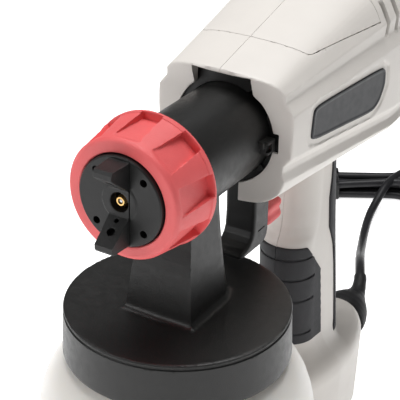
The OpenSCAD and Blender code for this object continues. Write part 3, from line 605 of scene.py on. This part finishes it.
# the plug: grip body with ribs, collar and face plate
def plug(x, y, z):
    yy, zz = y - 489, z - 13
    # neck with ribs
    rad = 4.6 + (x - 4) * 0.13 + 0.5 * np.cos((x - 4) * 2 * math.pi / 3.4) * ((x > 6) & (x < 23))
    neck = np.maximum(np.hypot(yy, zz) - rad, np.maximum(4 - x, x - 27))
    w = np.interp(x, [22, 30, 42, 56], [9, 11, 17.5, 18])
    hgt = np.interp(x, [22, 30, 42, 56], [8.6, 10.4, 12.2, 12.6])
    k0 = np.sqrt((yy / w) ** 2 + (zz / hgt) ** 2) + 1e-9
    k1 = np.sqrt((yy / w ** 2) ** 2 + (zz / hgt ** 2) ** 2) + 1e-9
    body_ = smax(k0 * (k0 - 1) / k1, np.maximum(22 - x, x - 56), 2.4)
    grooves = np.abs(((x - 33) % 3.2) - 1.6) - 0.45
    side = np.maximum(grooves, np.maximum(31.5 - x, x - 42))
    body_ = np.maximum(body_, -np.maximum(side, 13.4 - np.abs(yy)))
    d = smin(neck, body_, 3)
    for s in (-9.5, 9.5):
        d = np.maximum(d, -np.maximum(np.hypot(yy - s, zz) - 2.42, 50 - x))
    return d


V, Q = contour(plug, (3, 470, 0), (57, 508, 26.5), 0.8)
plug_ob = add_mesh("plug", V, Q, M_RUBBER, ["plug_body"])
pin_prof = [[0.01, 0], [1.5, 0], [2.2, 0.5], [2.4, 1.3], [2.4, 27], [0.01, 27]]
for s in (-1, 1):
    V, F_ = [], []
    for r_, h_ in pin_prof:
        for k in range(32):
            a = 2 * math.pi * k / 32
            V.append((75 - h_, 489 + s * 9.5 + r_ * math.cos(a), 13 + r_ * math.sin(a)))
    for i in range(len(pin_prof) - 1):
        for k in range(32):
            F_.append((i * 32 + k, i * 32 + (k + 1) % 32, (i + 1) * 32 + (k + 1) % 32, (i + 1) * 32 + k))
    o = add_mesh("plug_pin_%d" % (1 if s < 0 else 2), V, F_, M_STEEL, ["plug_pins"])
    fix_normals(o)

# boot: smooth, wide where it leaves the foot and soon narrow
bp = catmull([[0, 186, 37], [0, 193.1, 38.4], [0, 200, 40], [0, 206.5, 41.6], [0, 212, 43.4], [-0.5, 217, 45.6],
              [-2.2, 222.5, 48.6], [-3.6, 225.4, 49.6]], 12)
s_ = np.concatenate([[0], np.cumsum(np.linalg.norm(np.diff(bp, axis=0), axis=1))])
tot = s_[-1]
rad = [6.6 if s < 6.0 else float(np.interp(s, [6.0, 6.6, 8.5, 12, 17, 21, 25, 28.5, 32, 36, tot],
                                           [12.6, 15.0, 15.2, 14.6, 12.8, 10.5, 7.7, 5.6, 4.6, 4.1, 3.9])) for s in s_]
V, F_ = tube(bp, rad, 40)
boot = add_mesh("lead_boot", V, F_, M_RUBBER, ["cord_boot"])
fix_normals(boot)


# ------------------------------------------------------------------ housing
OUT_A = [(0, 33.4), (12, 32.7), (22, 30.6), (28.4, 28.4), (31.9, 24.9), (31.9, 21.2), (36.6, 15.4), (36.9, 7.5),
         (36.3, -5.7), (32.4, -10.7), (31.9, -13.8), (33.3, -18.9), (30.8, -25.6), (27.0, -29.8), (20.2, -34.2),
         (8.5, -35.8), (0, -36)]
OUT_B = [(0, 59.5), (16, 58.6), (28, 55), (36.4, 49.6), (43.0, 36.5), (42.3, 29.5), (46.0, 22.6), (46, 8),
         (45.4, -13), (42.3, -18.0), (41.9, -20.8), (44.0, -24.2), (41.6, -27.6), (37, -30), (29, -31.4),
         (13, -32), (0, -32)]
OUT_C = [(0, 56.5), (14, 55.6), (26, 52), (35, 45.5), (41.2, 33.5), (41.6, 27.5), (43.1, 23), (43.4, 8),
         (42.9, -8), (41.2, -12), (40.9, -14.4), (41.1, -17.5), (38.8, -21.4), (34, -24), (26, -25.4),
         (12, -25.8), (0, -25.8)]
OUT_D = [(0, 49.5), (12, 48.8), (22, 46), (30, 40.5), (35.4, 31), (36.2, 26), (37, 20), (37.2, 8),
         (36.8, -3), (35.6, -7), (35.2, -9.4), (34.8, -12.5), (32, -16.6), (27.5, -19.4), (20.5, -21),
         (9, -21.3), (0, -21.3)]
TIGHT = {4: 0.7, 5: 0.8, 6: 1.1, 8: 1.2, 9: 0.8, 10: 0.7, 11: 0.9}
BK, BP = resample([34, 140, 180, 203],
                  [chaikin(np.array(p, float), 2, TIGHT) for p in (OUT_A, OUT_B, OUT_C, OUT_D)],
                  [34, 140, 150, 160, 170, 180, 188, 196, 203])


def front_plane(x, z):
    t = np.clip((z - (ZA + 15)) / 18.0, 0, 1)
    return 40.0 - 5.6 * t * t * (3 - 2 * t) * (1 - 0.85 * np.clip(np.abs(x) / 33, 0, 1) ** 2)


def body_sdf(x, y, z):
    d = np.empty(x.shape)
    zr = z - ZA
    nearb = (zr > -52) & (y > 20)
    d[~nearb] = np.maximum(np.maximum(-40 - zr[~nearb], 30 - y[~nearb]), 6.0)
    if nearb.any():
        X, Y, Z = np.abs(x[nearb]), y[nearb], zr[nearb]
        s = section_sdf(X, Z, Y, BK, BP)
        s = smax(s, front_plane(X, z[nearb]) - Y, 1.2)
        s = smax(s, Y - 202, 5.0)
        d[nearb] = s
    return d


HZ = [20, 60, 100, 121, 129, 132.5, 135, 138, 143, 153, 172, 195, 214]
HF = [108, 104.8, 101.9, 100.7, 100.3, 100.2, 101.2, 103.2, 105.0, 106.2, 106.6, 105.6, 104.6]
HR = [164, 158.8, 153.4, 150.2, 149.1, 148.6, 148.3, 147.9, 147.3, 146.2, 144.2, 141.6, 139.5]


def handle_sdf(x, y, z):
    """The handle, narrower round its front than round its back."""
    yf, yr = np.interp(z, HZ, HF), np.interp(z, HZ, HR)
    rf, rr = 15.3, 17.0
    cf, cr = yf + rf, yr - rr
    t = np.clip((y - cf) / np.maximum(cr - cf, 0.1), 0, 1)
    c = cf + (cr - cf) * t
    d = np.hypot(x, y - c) - (rf + (rr - rf) * t)
    return np.maximum(d, np.maximum(20 - z, z - 214))


def foot_sdf(x, y, z):
    g = np.interp(z, [0, 46], [1.6, 0.0])
    a, b = 30 - g, 60 - g
    k0 = np.sqrt((x / a) ** 2 + ((y - 133) / b) ** 2) + 1e-9
    k1 = np.sqrt((x / a ** 2) ** 2 + ((y - 133) / b ** 2) ** 2) + 1e-9
    d = np.maximum(k0 * (k0 - 1) / k1, k0 * 0 - 30)
    d = smax(d, z - 54, 9.0)
    return smax(d, 1.5 - z, 3.0)


def outer_sdf(x, y, z):
    d = smin(body_sdf(x, y, z), handle_sdf(x, y, z), 11.0)
    # the flare is wide in front and at the sides, and tight behind
    return smin(d, foot_sdf(x, y, z), 24.0 - 17.0 * np.clip((y - 128) / 22.0, 0, 1))


def cover_region(x, y, z, gap):
    ax_ = np.abs(x)
    # the side seams run along the shoulder, cut square to its slope
    side = ((ax_ - (29.3 + 0.1947 * (y - 67.5))) - (z - ZA - (35.3 + 0.035 * (y - 67.5)))) / 1.42
    d = smax(side, 62.9 + 4.6 * (ax_ / 29.3) ** 2 - y, 2.5)
    d = np.maximum(d, y - 124)
    return np.maximum(d, (ZA + 20) - z) + gap


BADGE = [(57, 225.8), (58.1, 236.5), (59.5, 238.4), (64.8, 239.4), (121.7, 239.3), (125.6, 236.8), (125.9, 228.7),
         (121, 220.7), (114.5, 217.5), (86, 219.9), (63.1, 221.6), (57.3, 223.1)]
SCREWS = [(145, ZA - 24), (84, ZA + 31), (178, ZA + 46.5), (184, ZA - 12.5), (136, ZA - 62),
          (141, ZA - 104), (170, 18)]


def side_x(y):
    return np.interp(y, [34, 140], [36.75, 45.95])


def half_shell(x, y, z, left=False):
    """The right-hand shell; the left one is this mirrored, with its screw holes."""
    o = outer_sdf(x, y, z)
    # shallow panel around the badge
    pan = polygon_sdf(y, z, BADGE) - 3.0
    pan = np.maximum(pan, side_x(y) - 0.9 - x)
    o = smax(o, -pan, 1.4)
    inner = np.maximum(o + 2.6, 41.6 - y)
    d = np.maximum(o, -inner)
    r = np.hypot(x, z - ZA)
    cut = np.maximum(r - 27, y - 47)
    notch = box3(x, y, z, (-16, 20, ZA + 10), (16, 44, ZA + 31.4), 0.6)
    cut = smin(cut, notch, 1.0)
    cut = np.minimum(cut, box3(x, y, z, (20, 20, ZA - 5), (29.6, 42.4, ZA + 5), 0.8))
    cut = np.minimum(cut, np.maximum(r - 31.6, np.maximum(41.6 - y, y - 58)))
    cut = np.minimum(cut, box3(x, y, z, (-8.8, 10, ZA - 60), (8.8, 84, ZA - 22), 0.8))
    cut = np.minimum(cut, box3(x, y, z, (-9.6, 46, ZA - 60), (9.6, 84, ZA - 22), 0.8))
    cut = np.minimum(cut, np.maximum(np.hypot(x, z - ZM) - 32, 188 - y))
    for k in range(5):
        yc = 130 + 9 * k
        c, s = math.cos(math.radians(20)), math.sin(math.radians(20))
        dx, dz = x - 42, z - (ZA + 37)
        uu, vv = dx * c - dz * s, dx * s + dz * c
        cut = np.minimum(cut, box3(uu, y, vv, (-9, yc - 1.7, -9), (9, yc + 1.7, 9), 1.2))
    for px, py in ((15, 96), (15, 170)):
        cut = np.minimum(cut, np.maximum(np.hypot(x - px, y - py) - 6.1, z - 2.6))
    cut = np.minimum(cut, np.maximum(np.hypot(x, z - 34) - 7.1, 180 - y))
    if left:
        for sy, sz in SCREWS:
            cut = np.minimum(cut, np.maximum(np.hypot(y - sy, z - sz) - 3.05, 8 - x))
    d = smax(d, -cut, 0.5)
    d = np.maximum(d, -cover_region(x, y, z, -0.16))
    return np.maximum(d, 0.09 - x)


def build_half(left):
    V, Q = contour(lambda x, y, z: half_shell(x, y, z, left), (0, 33, 0), (47, 203, 286), 1.0)
    if left:
        V = V * np.array([-1, 1, 1])
        Q = Q[:, ::-1]
    return V, Q


V, Q = build_half(False)
add_mesh("housing_right_shell", V, Q, M_SHELL, ["housing_right"], angle=38)
V, Q = build_half(True)
add_mesh("housing_left_shell", V, Q, M_SHELL, ["housing_left"], angle=38)


def cover_half(x, y, z):
    o = outer_sdf(x, y, z)
    d = np.maximum(o, -(o + 2.4))
    d = np.maximum(d, cover_region(x, y, z, 0.16))
    return np.maximum(d, 0.09 - x)


V, Q = contour(cover_half, (0, 61, 255), (46, 125, 286), 1.0)
add_mesh("top_cover_right", V, Q, M_SHELL, ["top_cover"], angle=38)
add_mesh("top_cover_left", V * np.array([-1, 1, 1]), Q[:, ::-1], M_SHELL, ["top_cover"], angle=38)


# badge plates, bare, with a fine raised rim
def plate():
    """Rings of the badge's outline, each further in: (inset, height above the panel)."""
    P = np.array(BADGE, float)
    for _ in range(2):
        P = np.stack([P * 0.8 + np.roll(P, -1, 0) * 0.2, P * 0.2 + np.roll(P, -1, 0) * 0.8], 1).reshape(-1, 2)
    e = np.roll(P, -1, 0) - P
    e /= np.linalg.norm(e, axis=1)[:, None] + 1e-9
    nn = np.stack([e[:, 1], -e[:, 0]], -1)
    nn = nn + np.roll(nn, 1, 0)
    nn /= np.linalg.norm(nn, axis=1)[:, None] + 1e-9
    if ((P - P.mean(0)) * nn).sum() < 0:
        nn = -nn
    V, F_ = [], []
    rings = [(0.0, -1.6), (0.0, 0.45), (0.15, 0.7), (0.4, 0.82), (1.2, 0.82), (1.45, 0.74), (1.7, 0.6), (2.4, 0.58)]
    n = len(P)
    for inset, t in rings:
        R_ = P - nn * inset
        for y, z in R_:
            V.append((float(side_x(y)) - 0.9 + t, y, z))
    for i in range(len(rings) - 1):
        for k in range(n):
            F_.append((i * n + k, i * n + (k + 1) % n, (i + 1) * n + (k + 1) % n, (i + 1) * n + k))
    F_.append(tuple(range(n))[::-1])
    F_.append(tuple((len(rings) - 1) * n + k for k in range(n)))
    return np.array(V), F_


V, F_ = plate()
fix_normals(add_mesh("badge_plate_right", V, F_, M_BADGE, ["badge_right"], angle=30))
fix_normals(add_mesh("badge_plate_left", V * np.array([-1, 1, 1]), F_, M_BADGE, ["badge_left"], angle=30))

# rubber panels of the handle
PANEL = [(80, 131), (96, 132.4), (109, 131.2), (122, 113.3), (128, 66), (117.3, 59.8), (104, 60), (80, 64)]
BACK = [(128.5, 190), (128.4, 169), (127.8, 155), (129.7, 136), (136.1, 122), (139.3, 109), (142.4, 86), (144.3, 69),
        (143.7, 61), (178, 61), (178, 190)]
GROOVES = [125, 112, 97.8, 75.4]


def panel_front(x, y, z):
    h_ = handle_sdf(x, y, z)
    d = np.maximum(np.maximum(h_ - 1.1, -h_ - 1.6), 0.12 - x)
    out = polygon_sdf(y, z, PANEL) - 0.4
    d = smax(d, out, 0.9)
    for gz in GROOVES:
        g = np.maximum(np.abs(z - gz - (y - 105) * 0.03) - 0.75, 0.35 - h_)
        g = np.maximum(g, y - 116)
        d = smax(d, -g, 0.5)
    return d


V, Q = contour(panel_front, (0, 98, 58), (19.5, 128, 139), 0.75)
add_mesh("grip_panel_right", V, Q, M_GRIP, ["grip_right"])
add_mesh("grip_panel_left", V * np.array([-1, 1, 1]), Q[:, ::-1], M_GRIP, ["grip_left"])


def panel_back(x, y, z):
    h_ = handle_sdf(x, y, z)
    d = np.maximum(h_ - 1.0, -h_ - 1.6)
    d = smax(d, polygon_sdf(y, z, BACK) - 0.3, 0.8)
    for k in range(9):
        g = np.maximum(np.abs(z - 66 - 7 * k) - 0.9, np.maximum(0.4 - h_, np.abs(x) - 12))
        d = smax(d, -g, 0.6)
    return d


V, Q = contour(panel_back, (-21, 121, 58), (21, 166, 190), 0.9)
add_mesh("grip_panel_rear", V, Q, M_GRIP, ["grip_back"])


# ------------------------------------------------------------------ inner ring behind the opening
def bay_ring(x, y, z):
    r = np.hypot(x, z - ZA)
    d = np.maximum(np.maximum(r - 31, 24.15 - r), np.maximum(42 - y, y - 56))
    d = np.minimum(d, box3(x, y, z, (-17.4, 42.2, ZA + 20), (17.4, 44, ZA + 32.2), 0.3))
    d = np.maximum(d, 24.15 - r)
    c = math.sqrt(0.5)
    u, w = x * c - (z - ZA) * c, x * c + (z - ZA) * c
    slot = np.maximum(np.abs(u) - 7.2, np.maximum(r - 29, y - 47))
    groove = np.maximum(r - 29, np.abs(y - 49.2) - 2.8)
    low = box3(x, y, z, (-9, 40, ZA - 40), (9, 58, ZA - 27.5))
    return smax(d, -np.minimum(np.minimum(slot, groove), low), 0.4)


V, Q = contour(bay_ring, (-31, 42, ZA - 31), (31, 56, ZA + 33), 0.9)
add_mesh("lock_ring", V, Q, M_BLACK, ["bayonet_ring"])

# ------------------------------------------------------------------ spray head: lid, neck and barrel
NECK_A = np.array([(0, -18.9), (19.3, -18.4), (18.8, 14), (15.4, 24), (0, 24.6)], float)
NECK_B = np.array([(0, -17.6), (17.9, -17.2), (17.5, 15), (14, 22), (0, 23)], float)
NECK_C = np.array([(0, -15.3), (16, -14.8), (15.4, 15), (12, 20.5), (0, 21)], float)
NECK_D = np.array([(0, -10.3), (13, -9.9), (12.8, 15), (10.5, 19.5), (0, 20)], float)
NECK_E = np.array([(0, -9.0), (12, -8.7), (12, 15), (10, 19), (0, 19.5)], float)
NK, NP = resample([146, 155, 174, 195, 215],
                  [chaikin(p, 2, {1: 0.5, 2: 4.0, 3: 2.0}) for p in (NECK_A, NECK_B, NECK_C, NECK_D, NECK_E)],
                  [146, 150, 155, 160, 165, 170, 175, 180, 187, 195, 205, 215])
LID = [(0.01, 150), (53.7, 150), (54.5, 149.9), (55.0, 149.6), (55.2, 149.0), (55.0, 148.4),
       (54.6, 148.0), (54.6, 147.3), (55.2, 146.8), (56.0, 126.4), (55.6, 125.5), (53.4, 125.5), (52.5, 133.5),
       (52.5, 146.6), (0.01, 146.6)]


def head_sdf(x, y, z):
    r = np.hypot(x, y)
    lid = polygon_sdf(r, z, LID)
    rb = np.hypot(x, z - ZA)
    barrel = smax(rb - 23.8, np.maximum(-38 - y, y - 56), 0.9)
    nk = section_sdf(np.abs(x), y, z, NK, NP)
    nk = np.maximum(nk, np.maximum(147 - z, z - ZA))
    d = smin(lid, nk, 3.4)
    d = smin(d, barrel, 1.6)
    bore = np.maximum(rb - 21.3, y - 53)
    d = smax(d, -bore, 0.6)
    # air port and needle hole in the rear wall
    port = box3(x, y, z, (-10.5, 50, ZA + 8.5), (10.5, 60, ZA + 19), 0.6)
    d = np.maximum(d, -np.minimum(port, np.maximum(rb - 2.2, 50 - y)))
    # side lug with a small step, and the spot under it
    lug = box3(x, y, z, (21, 33, ZA - 3.5), (28.2, 39.6, ZA + 3.2), 0.5)
    lug2 = box3(x, y, z, (21, 31.6, ZA - 0.2), (26.2, 35, ZA + 3.2), 0.5)
    d = np.minimum(d, np.minimum(np.maximum(lug, -box3(x, y, z, (26.6, 30, ZA - 2.2), (30, 36.4, ZA + 1.9), 0.4)), lug2))
    d = np.minimum(d, np.maximum(np.hypot(x - 20, z - (ZA - 14.6)) - 1.6, np.maximum(39.9 - y, y - 41.7)))
    lock = np.maximum(np.maximum(rb - 28.6, np.abs(x) - 6.5), np.abs(y - 49.25) - 2.25)
    return np.minimum(d, lock)


V, Q = contour(head_sdf, (-56.5, -56.5, 125), (56.5, 56.5, 254), 0.8)
add_mesh("spray_head_body", V, Q, M_LID, ["spray_head"], angle=36)


# ------------------------------------------------------------------ union nut
NUT = [(22.1, -43.1), (22.1, -46.0), (22.6, -46.5), (27.0, -46.5), (27.9, -46.1), (28.7, -45.0), (31.7, -23.5),
       (32.2, -23.2), (32.2, -20.6), (31.8, -20.2), (24.4, -20.2), (24.4, -43.1)]
POCKET = [(-7.2, -50), (-6.7, -45), (-5.4, -21.9), (-5.0, -21.5), (5.0, -21.5), (5.4, -21.9), (6.7, -45), (7.2, -50)]


def nut_sdf(x, y, z):
    r = np.hypot(x, z - ZA)
    a = np.arctan2(x, z - ZA)
    pitch = 2 * math.pi / 9
    a = (a + pitch / 2) % pitch - pitch / 2
    rr, t = r * np.cos(a), r * np.sin(a)
    d = polygon_sdf(r, y, NUT)
    floor = 27.9 + 0.36 * np.maximum(0, -42 - y)
    pocket = smax(polygon_sdf(t, y, POCKET), floor - rr, 0.5)
    return smax(d, -pocket, 0.35)


V, Q = contour(nut_sdf, (-32.5, -47, ZA - 32.5), (32.5, -20, ZA + 32.5), 0.6)
add_mesh("union_nut_body", V, Q, M_RED, ["union_nut"], angle=40)


# ------------------------------------------------------------------ air cap
CAPP = [(4.7, -44.0), (4.7, -48.3), (5.0, -48.6), (8.6, -48.6), (8.75, -48.35), (9.1, -48.35), (9.3, -48.2),
        (20.9, -48.2), (21.5, -47.7), (21.6, -47.2), (21.6, -42.8), (23.6, -42.8), (23.6, -38.6), (20, -38.6),
        (20, -40.8), (8, -40.8)]
HORN = [(-44, 9.4), (-47.5, 6.1), (-48.2, 6.1), (-60.9, 16.2), (-60.9, 18.5), (-59.8, 19.9), (-44, 19.9)]


def cap_sdf(x, y, z):
    zz = np.abs(z - ZA)
    r = np.hypot(x, z - ZA)
    d = polygon_sdf(r, y, CAPP)
    horn = polygon_sdf(y, zz, HORN)
    w = np.interp(y, [-61, -48.2], [4.7, 5.2])
    horn = smax(horn, np.abs(x) - w, 0.35)
    d = smin(d, horn, 0.5)
    # shallow channel in the disc beside the horns
    cut = box3(x, y, z, (5.0, -49, ZA - 21), (5.7, -47.9, ZA + 21), 0.2)
    a = (np.abs(x) - 12.3) ** 2 + (zz - 12.3) ** 2
    holes = np.maximum(np.sqrt(a) - 1.8, -46 - 0 * y - (y + 92) * 0)
    holes = np.maximum(np.sqrt(a) - 1.8, y + 40)
    nrm_y, nrm_z = -0.623, -0.782
    for (cy, cz, rad_) in ((-50.6, 8.0, 1.1), (-55.0, 11.5, 1.95)):
        dy, dz = y - cy, zz - cz
        along = dy * nrm_y + dz * nrm_z
        py_, pz_ = dy - along * nrm_y, dz - along * nrm_z
        q = np.sqrt(x ** 2 + py_ ** 2 + pz_ ** 2) - rad_
        cut = np.minimum(cut, np.maximum(q, np.abs(along) - 3.0))
    cut = np.minimum(cut, holes)
    return smax(d, -cut, 0.25)


V, Q = contour(cap_sdf, (-24, -61.5, ZA - 24), (24, -38, ZA + 24), 0.42)
add_mesh("air_cap_body", V, Q, M_CAP, ["air_cap"], angle=33)

# brass fluid tip
tip = [[1.2, -47.4], [1.35, -47.6], [2.0, -47.6], [2.25, -47.2], [3.3, -45.3], [3.5, -44.6], [3.5, -43.2], [4.3, -43.0],
       [7.0, -37.2], [7.4, -37.0], [7.4, -34.2], [7.2, -34], [2.6, -34], [2.6, -43.3], [1.2, -43.8]]
lathe("fluid_tip", tip, M_BRASS, ["fluid_nozzle"], segs=64)
nd = [[0.05, -47.3], [0.75, -47.1], [1.1, -43.6], [1.5, -41.5], [1.5, 43.5], [5, 43.6], [5, 45.4], [1.5, 45.5],
      [1.5, 67.2], [5.2, 67.2], [5.5, 67.5], [5.5, 69.7], [5.2, 70], [0.05, 70]]
lathe("fluid_needle", nd, M_STEEL, ["needle"], segs=48, closed=False)

# ------------------------------------------------------------------ cup
cup = [[0.05, 0.9], [24, 0.9], [25, 0.2], [62, 0], [65.5, 0.6], [67.6, 2.2], [68.8, 5], [69, 8], [69, 86],
       [68.7, 91], [68.1, 96], [66.9, 101.2], [65, 106.8], [62.2, 112.2], [58.6, 117.2], [54.6, 121], [51.6, 123.2],
       [50, 124.2], [49.5, 125], [49.5, 130.6], [51.3, 131.2], [51.3, 132.2], [49.5, 132.8], [49.5, 137], [51.3, 137.6],
       [51.3, 138.6], [49.5, 139.2], [49.5, 142.6], [49.1, 143], [46.9, 143], [46.5, 142.6], [46.5, 124.4],
       [47.4, 122.4], [52.4, 119.2], [56.6, 115.4], [60.2, 110.8], [63.1, 105.6], [65, 100.3], [66.2, 95.4], [66.8, 90],
       [67, 86], [67, 8], [66.4, 4.8], [64.4, 2.8], [61, 2.2], [0.05, 2.2]]
lathe("cup_body", cup, M_CUP, ["paint_cup"], axis="z", segs=160, closed=False, angle=40)


# ------------------------------------------------------------------ trigger and knob
TRIG = [(58.3, ZA - 29), (58.5, ZA - 42), (58.6, ZA - 54), (58.0, ZA - 62), (56.6, ZA - 65.0), (54.4, ZA - 67.1),
        (50.8, ZA - 69.0), (46.6, ZA - 69.6), (45.3, ZA - 70.3), (45.2, ZA - 71.6), (46.4, ZA - 72.4), (52, ZA - 72.7),
        (67, ZA - 72.8), (70.6, ZA - 71.8), (72.8, ZA - 69.2), (73.5, ZA - 66), (73.5, ZA - 33), (66, ZA - 29)]


def trigger_sdf(x, y, z):
    ax_ = np.abs(x)
    p = polygon_sdf(y, z, TRIG)
    f = smax(p, ax_ - 8.7, 2.0)
    hollow = box3(x, y, z, (-5.6, 63, ZA - 52), (5.6, 80, ZA - 34), 1.0)
    f = smax(f, -hollow, 0.5)
    # a short moulded line on each side
    f = smax(f, -box3(ax_, y, z, (8.3, 62.5, ZA - 63.5), (10, 69, ZA - 62.6), 0.3), 0.25)
    web = box3(x, y, z, (-16.5, 60, ZA - 30), (16.5, 66, ZA + 4.5), 1.0)
    arm = box3(ax_, y, z, (13.5, 60, ZA - 30), (16.5, 67, ZA + 25), 0.6)
    eye = np.maximum(np.hypot(y - 64, z - (ZA + 25)) - 5, np.abs(ax_ - 15) - 1.5)
    d = np.minimum(f, np.minimum(web, np.minimum(arm, eye)))
    d = np.maximum(d, -box3(x, y, z, (-2.8, 58, ZA - 4), (2.8, 69, ZA + 10)))
    d = np.maximum(d, -(np.hypot(y - 64, z - (ZA + 25)) - 2.06))
    return np.maximum(d, -np.maximum(np.hypot(x, z - (ZA - 60.5)) - 2.5, 64 - y))


V, Q = contour(trigger_sdf, (-17, 44.5, ZA - 73.2), (17, 74, ZA + 30.5), 0.6)
add_mesh("trigger_lever", V, Q, M_BLACK, ["trigger"], angle=40)


def knob_sdf(x, y, z):
    zz = z - (ZA - 60.5)
    r = np.hypot(x, zz)
    a = np.arctan2(x, zz)
    rad_ = 8.5 + 0.95 * np.cos(6 * a)
    flare = np.interp(y, [73.7, 76.5, 86, 88.8], [-0.6, 0, 0, -0.7])
    d = smax(r - rad_ - flare, np.maximum(73.7 - y, y - 88.8), 1.4)
    d = np.maximum(d, -np.maximum(r - 2.56, y - 86.2))
    return smax(d, -np.maximum(r - 5.2, 88.0 - y), 0.5)


V, Q = contour(knob_sdf, (-10, 73.5, ZA - 70.5), (10, 89, ZA - 50.5), 0.5)
add_mesh("flow_knob_body", V, Q, M_RED, ["flow_knob"], angle=45)


# ------------------------------------------------------------------ rear cover
def rear_sdf(x, y, z):
    r = np.hypot(x, z - ZM)
    prof = polygon_sdf(r, y, [(0.0, 201.4), (31.6, 201.4), (31.6, 207.5), (30.6, 210.4), (28, 212.8), (24, 214), (0.0, 214)])
    d = prof
    d = smax(d, -np.maximum(r - 29.4, y - 207), 0.4)
    for k in range(-3, 4):
        zc = ZM + 6.4 * k
        w = 26 - abs(k) * 2
        slat = box3(x, y, z - (y - 210) * 0.25, (-w, 204, zc - 1.5), (w, 218, zc + 1.5), 1.2)
        d = smax(d, -slat, 0.5)
    # finger notches round the rim
    a = (np.arctan2(x, z - ZM) + math.pi / 16) % (math.pi / 8) - math.pi / 16
    rib = np.hypot(r * np.cos(a) - 33.0, r * np.sin(a)) - 2.2
    return smax(d, -np.maximum(rib, 203 - y), 0.6)


V, Q = contour(rear_sdf, (-32, 201, ZM - 32), (32, 214.2, ZM + 32), 0.8)
add_mesh("rear_cover_body", V, Q, M_BLACK, ["rear_cover"], angle=40)

# ------------------------------------------------------------------ stage and light
me = bpy.data.meshes.new("floor")
me.from_pydata([(-6, -6, -0.0002), (6, -6, -0.0002), (6, 6, -0.0002), (-6, 6, -0.0002)], [], [(0, 1, 2, 3)])
fm = bpy.data.materials.new("floor")
fm.use_nodes = True
fp = fm.node_tree.nodes["Principled BSDF"]
fp.inputs["Base Color"].default_value = (0.93, 0.93, 0.93, 1)
fp.inputs["Roughness"].default_value = 0.9
fp.inputs["Specular IOR Level"].default_value = 0.1
fp.inputs["Emission Color"].default_value = (1, 1, 1, 1)
fp.inputs["Emission Strength"].default_value = 0.72
me.materials.append(fm)
floor = bpy.data.objects.new("floor", me)
scene.collection.objects.link(floor)

world = bpy.data.worlds.new("studio")
scene.world = world
world.use_nodes = True
bg = world.node_tree.nodes["Background"]
bg.inputs[0].default_value = (1.0, 1.0, 1.0, 1)
bg.inputs[1].default_value = 0.16


def area(name, loc, target, size, power, color=(1, 1, 1)):
    ld = bpy.data.lights.new(name, "AREA")
    ld.shape = "RECTANGLE"
    ld.size, ld.size_y = size
    ld.energy = power
    ld.color = color
    ob = bpy.data.objects.new(name, ld)
    scene.collection.objects.link(ob)
    ob.location = loc
    ob.rotation_euler = (Vector(target) - Vector(loc)).to_track_quat("-Z", "Y").to_euler()
    return ob


area("top", (-0.1, 0.2, 1.5), (0, 0.05, 0.15), (0.9, 0.9), 18.5)
area("front_left", (-0.9, -1.1, 0.9), (0, 0, 0.18), (0.6, 0.6), 6.5)
area("right_side", (1.2, -0.1, 0.8), (0, 0.08, 0.18), (0.4, 0.8), 0.15)

scene.view_settings.view_transform = "Standard"
scene.view_settings.look = "None"
scene.view_settings.exposure = 0.0
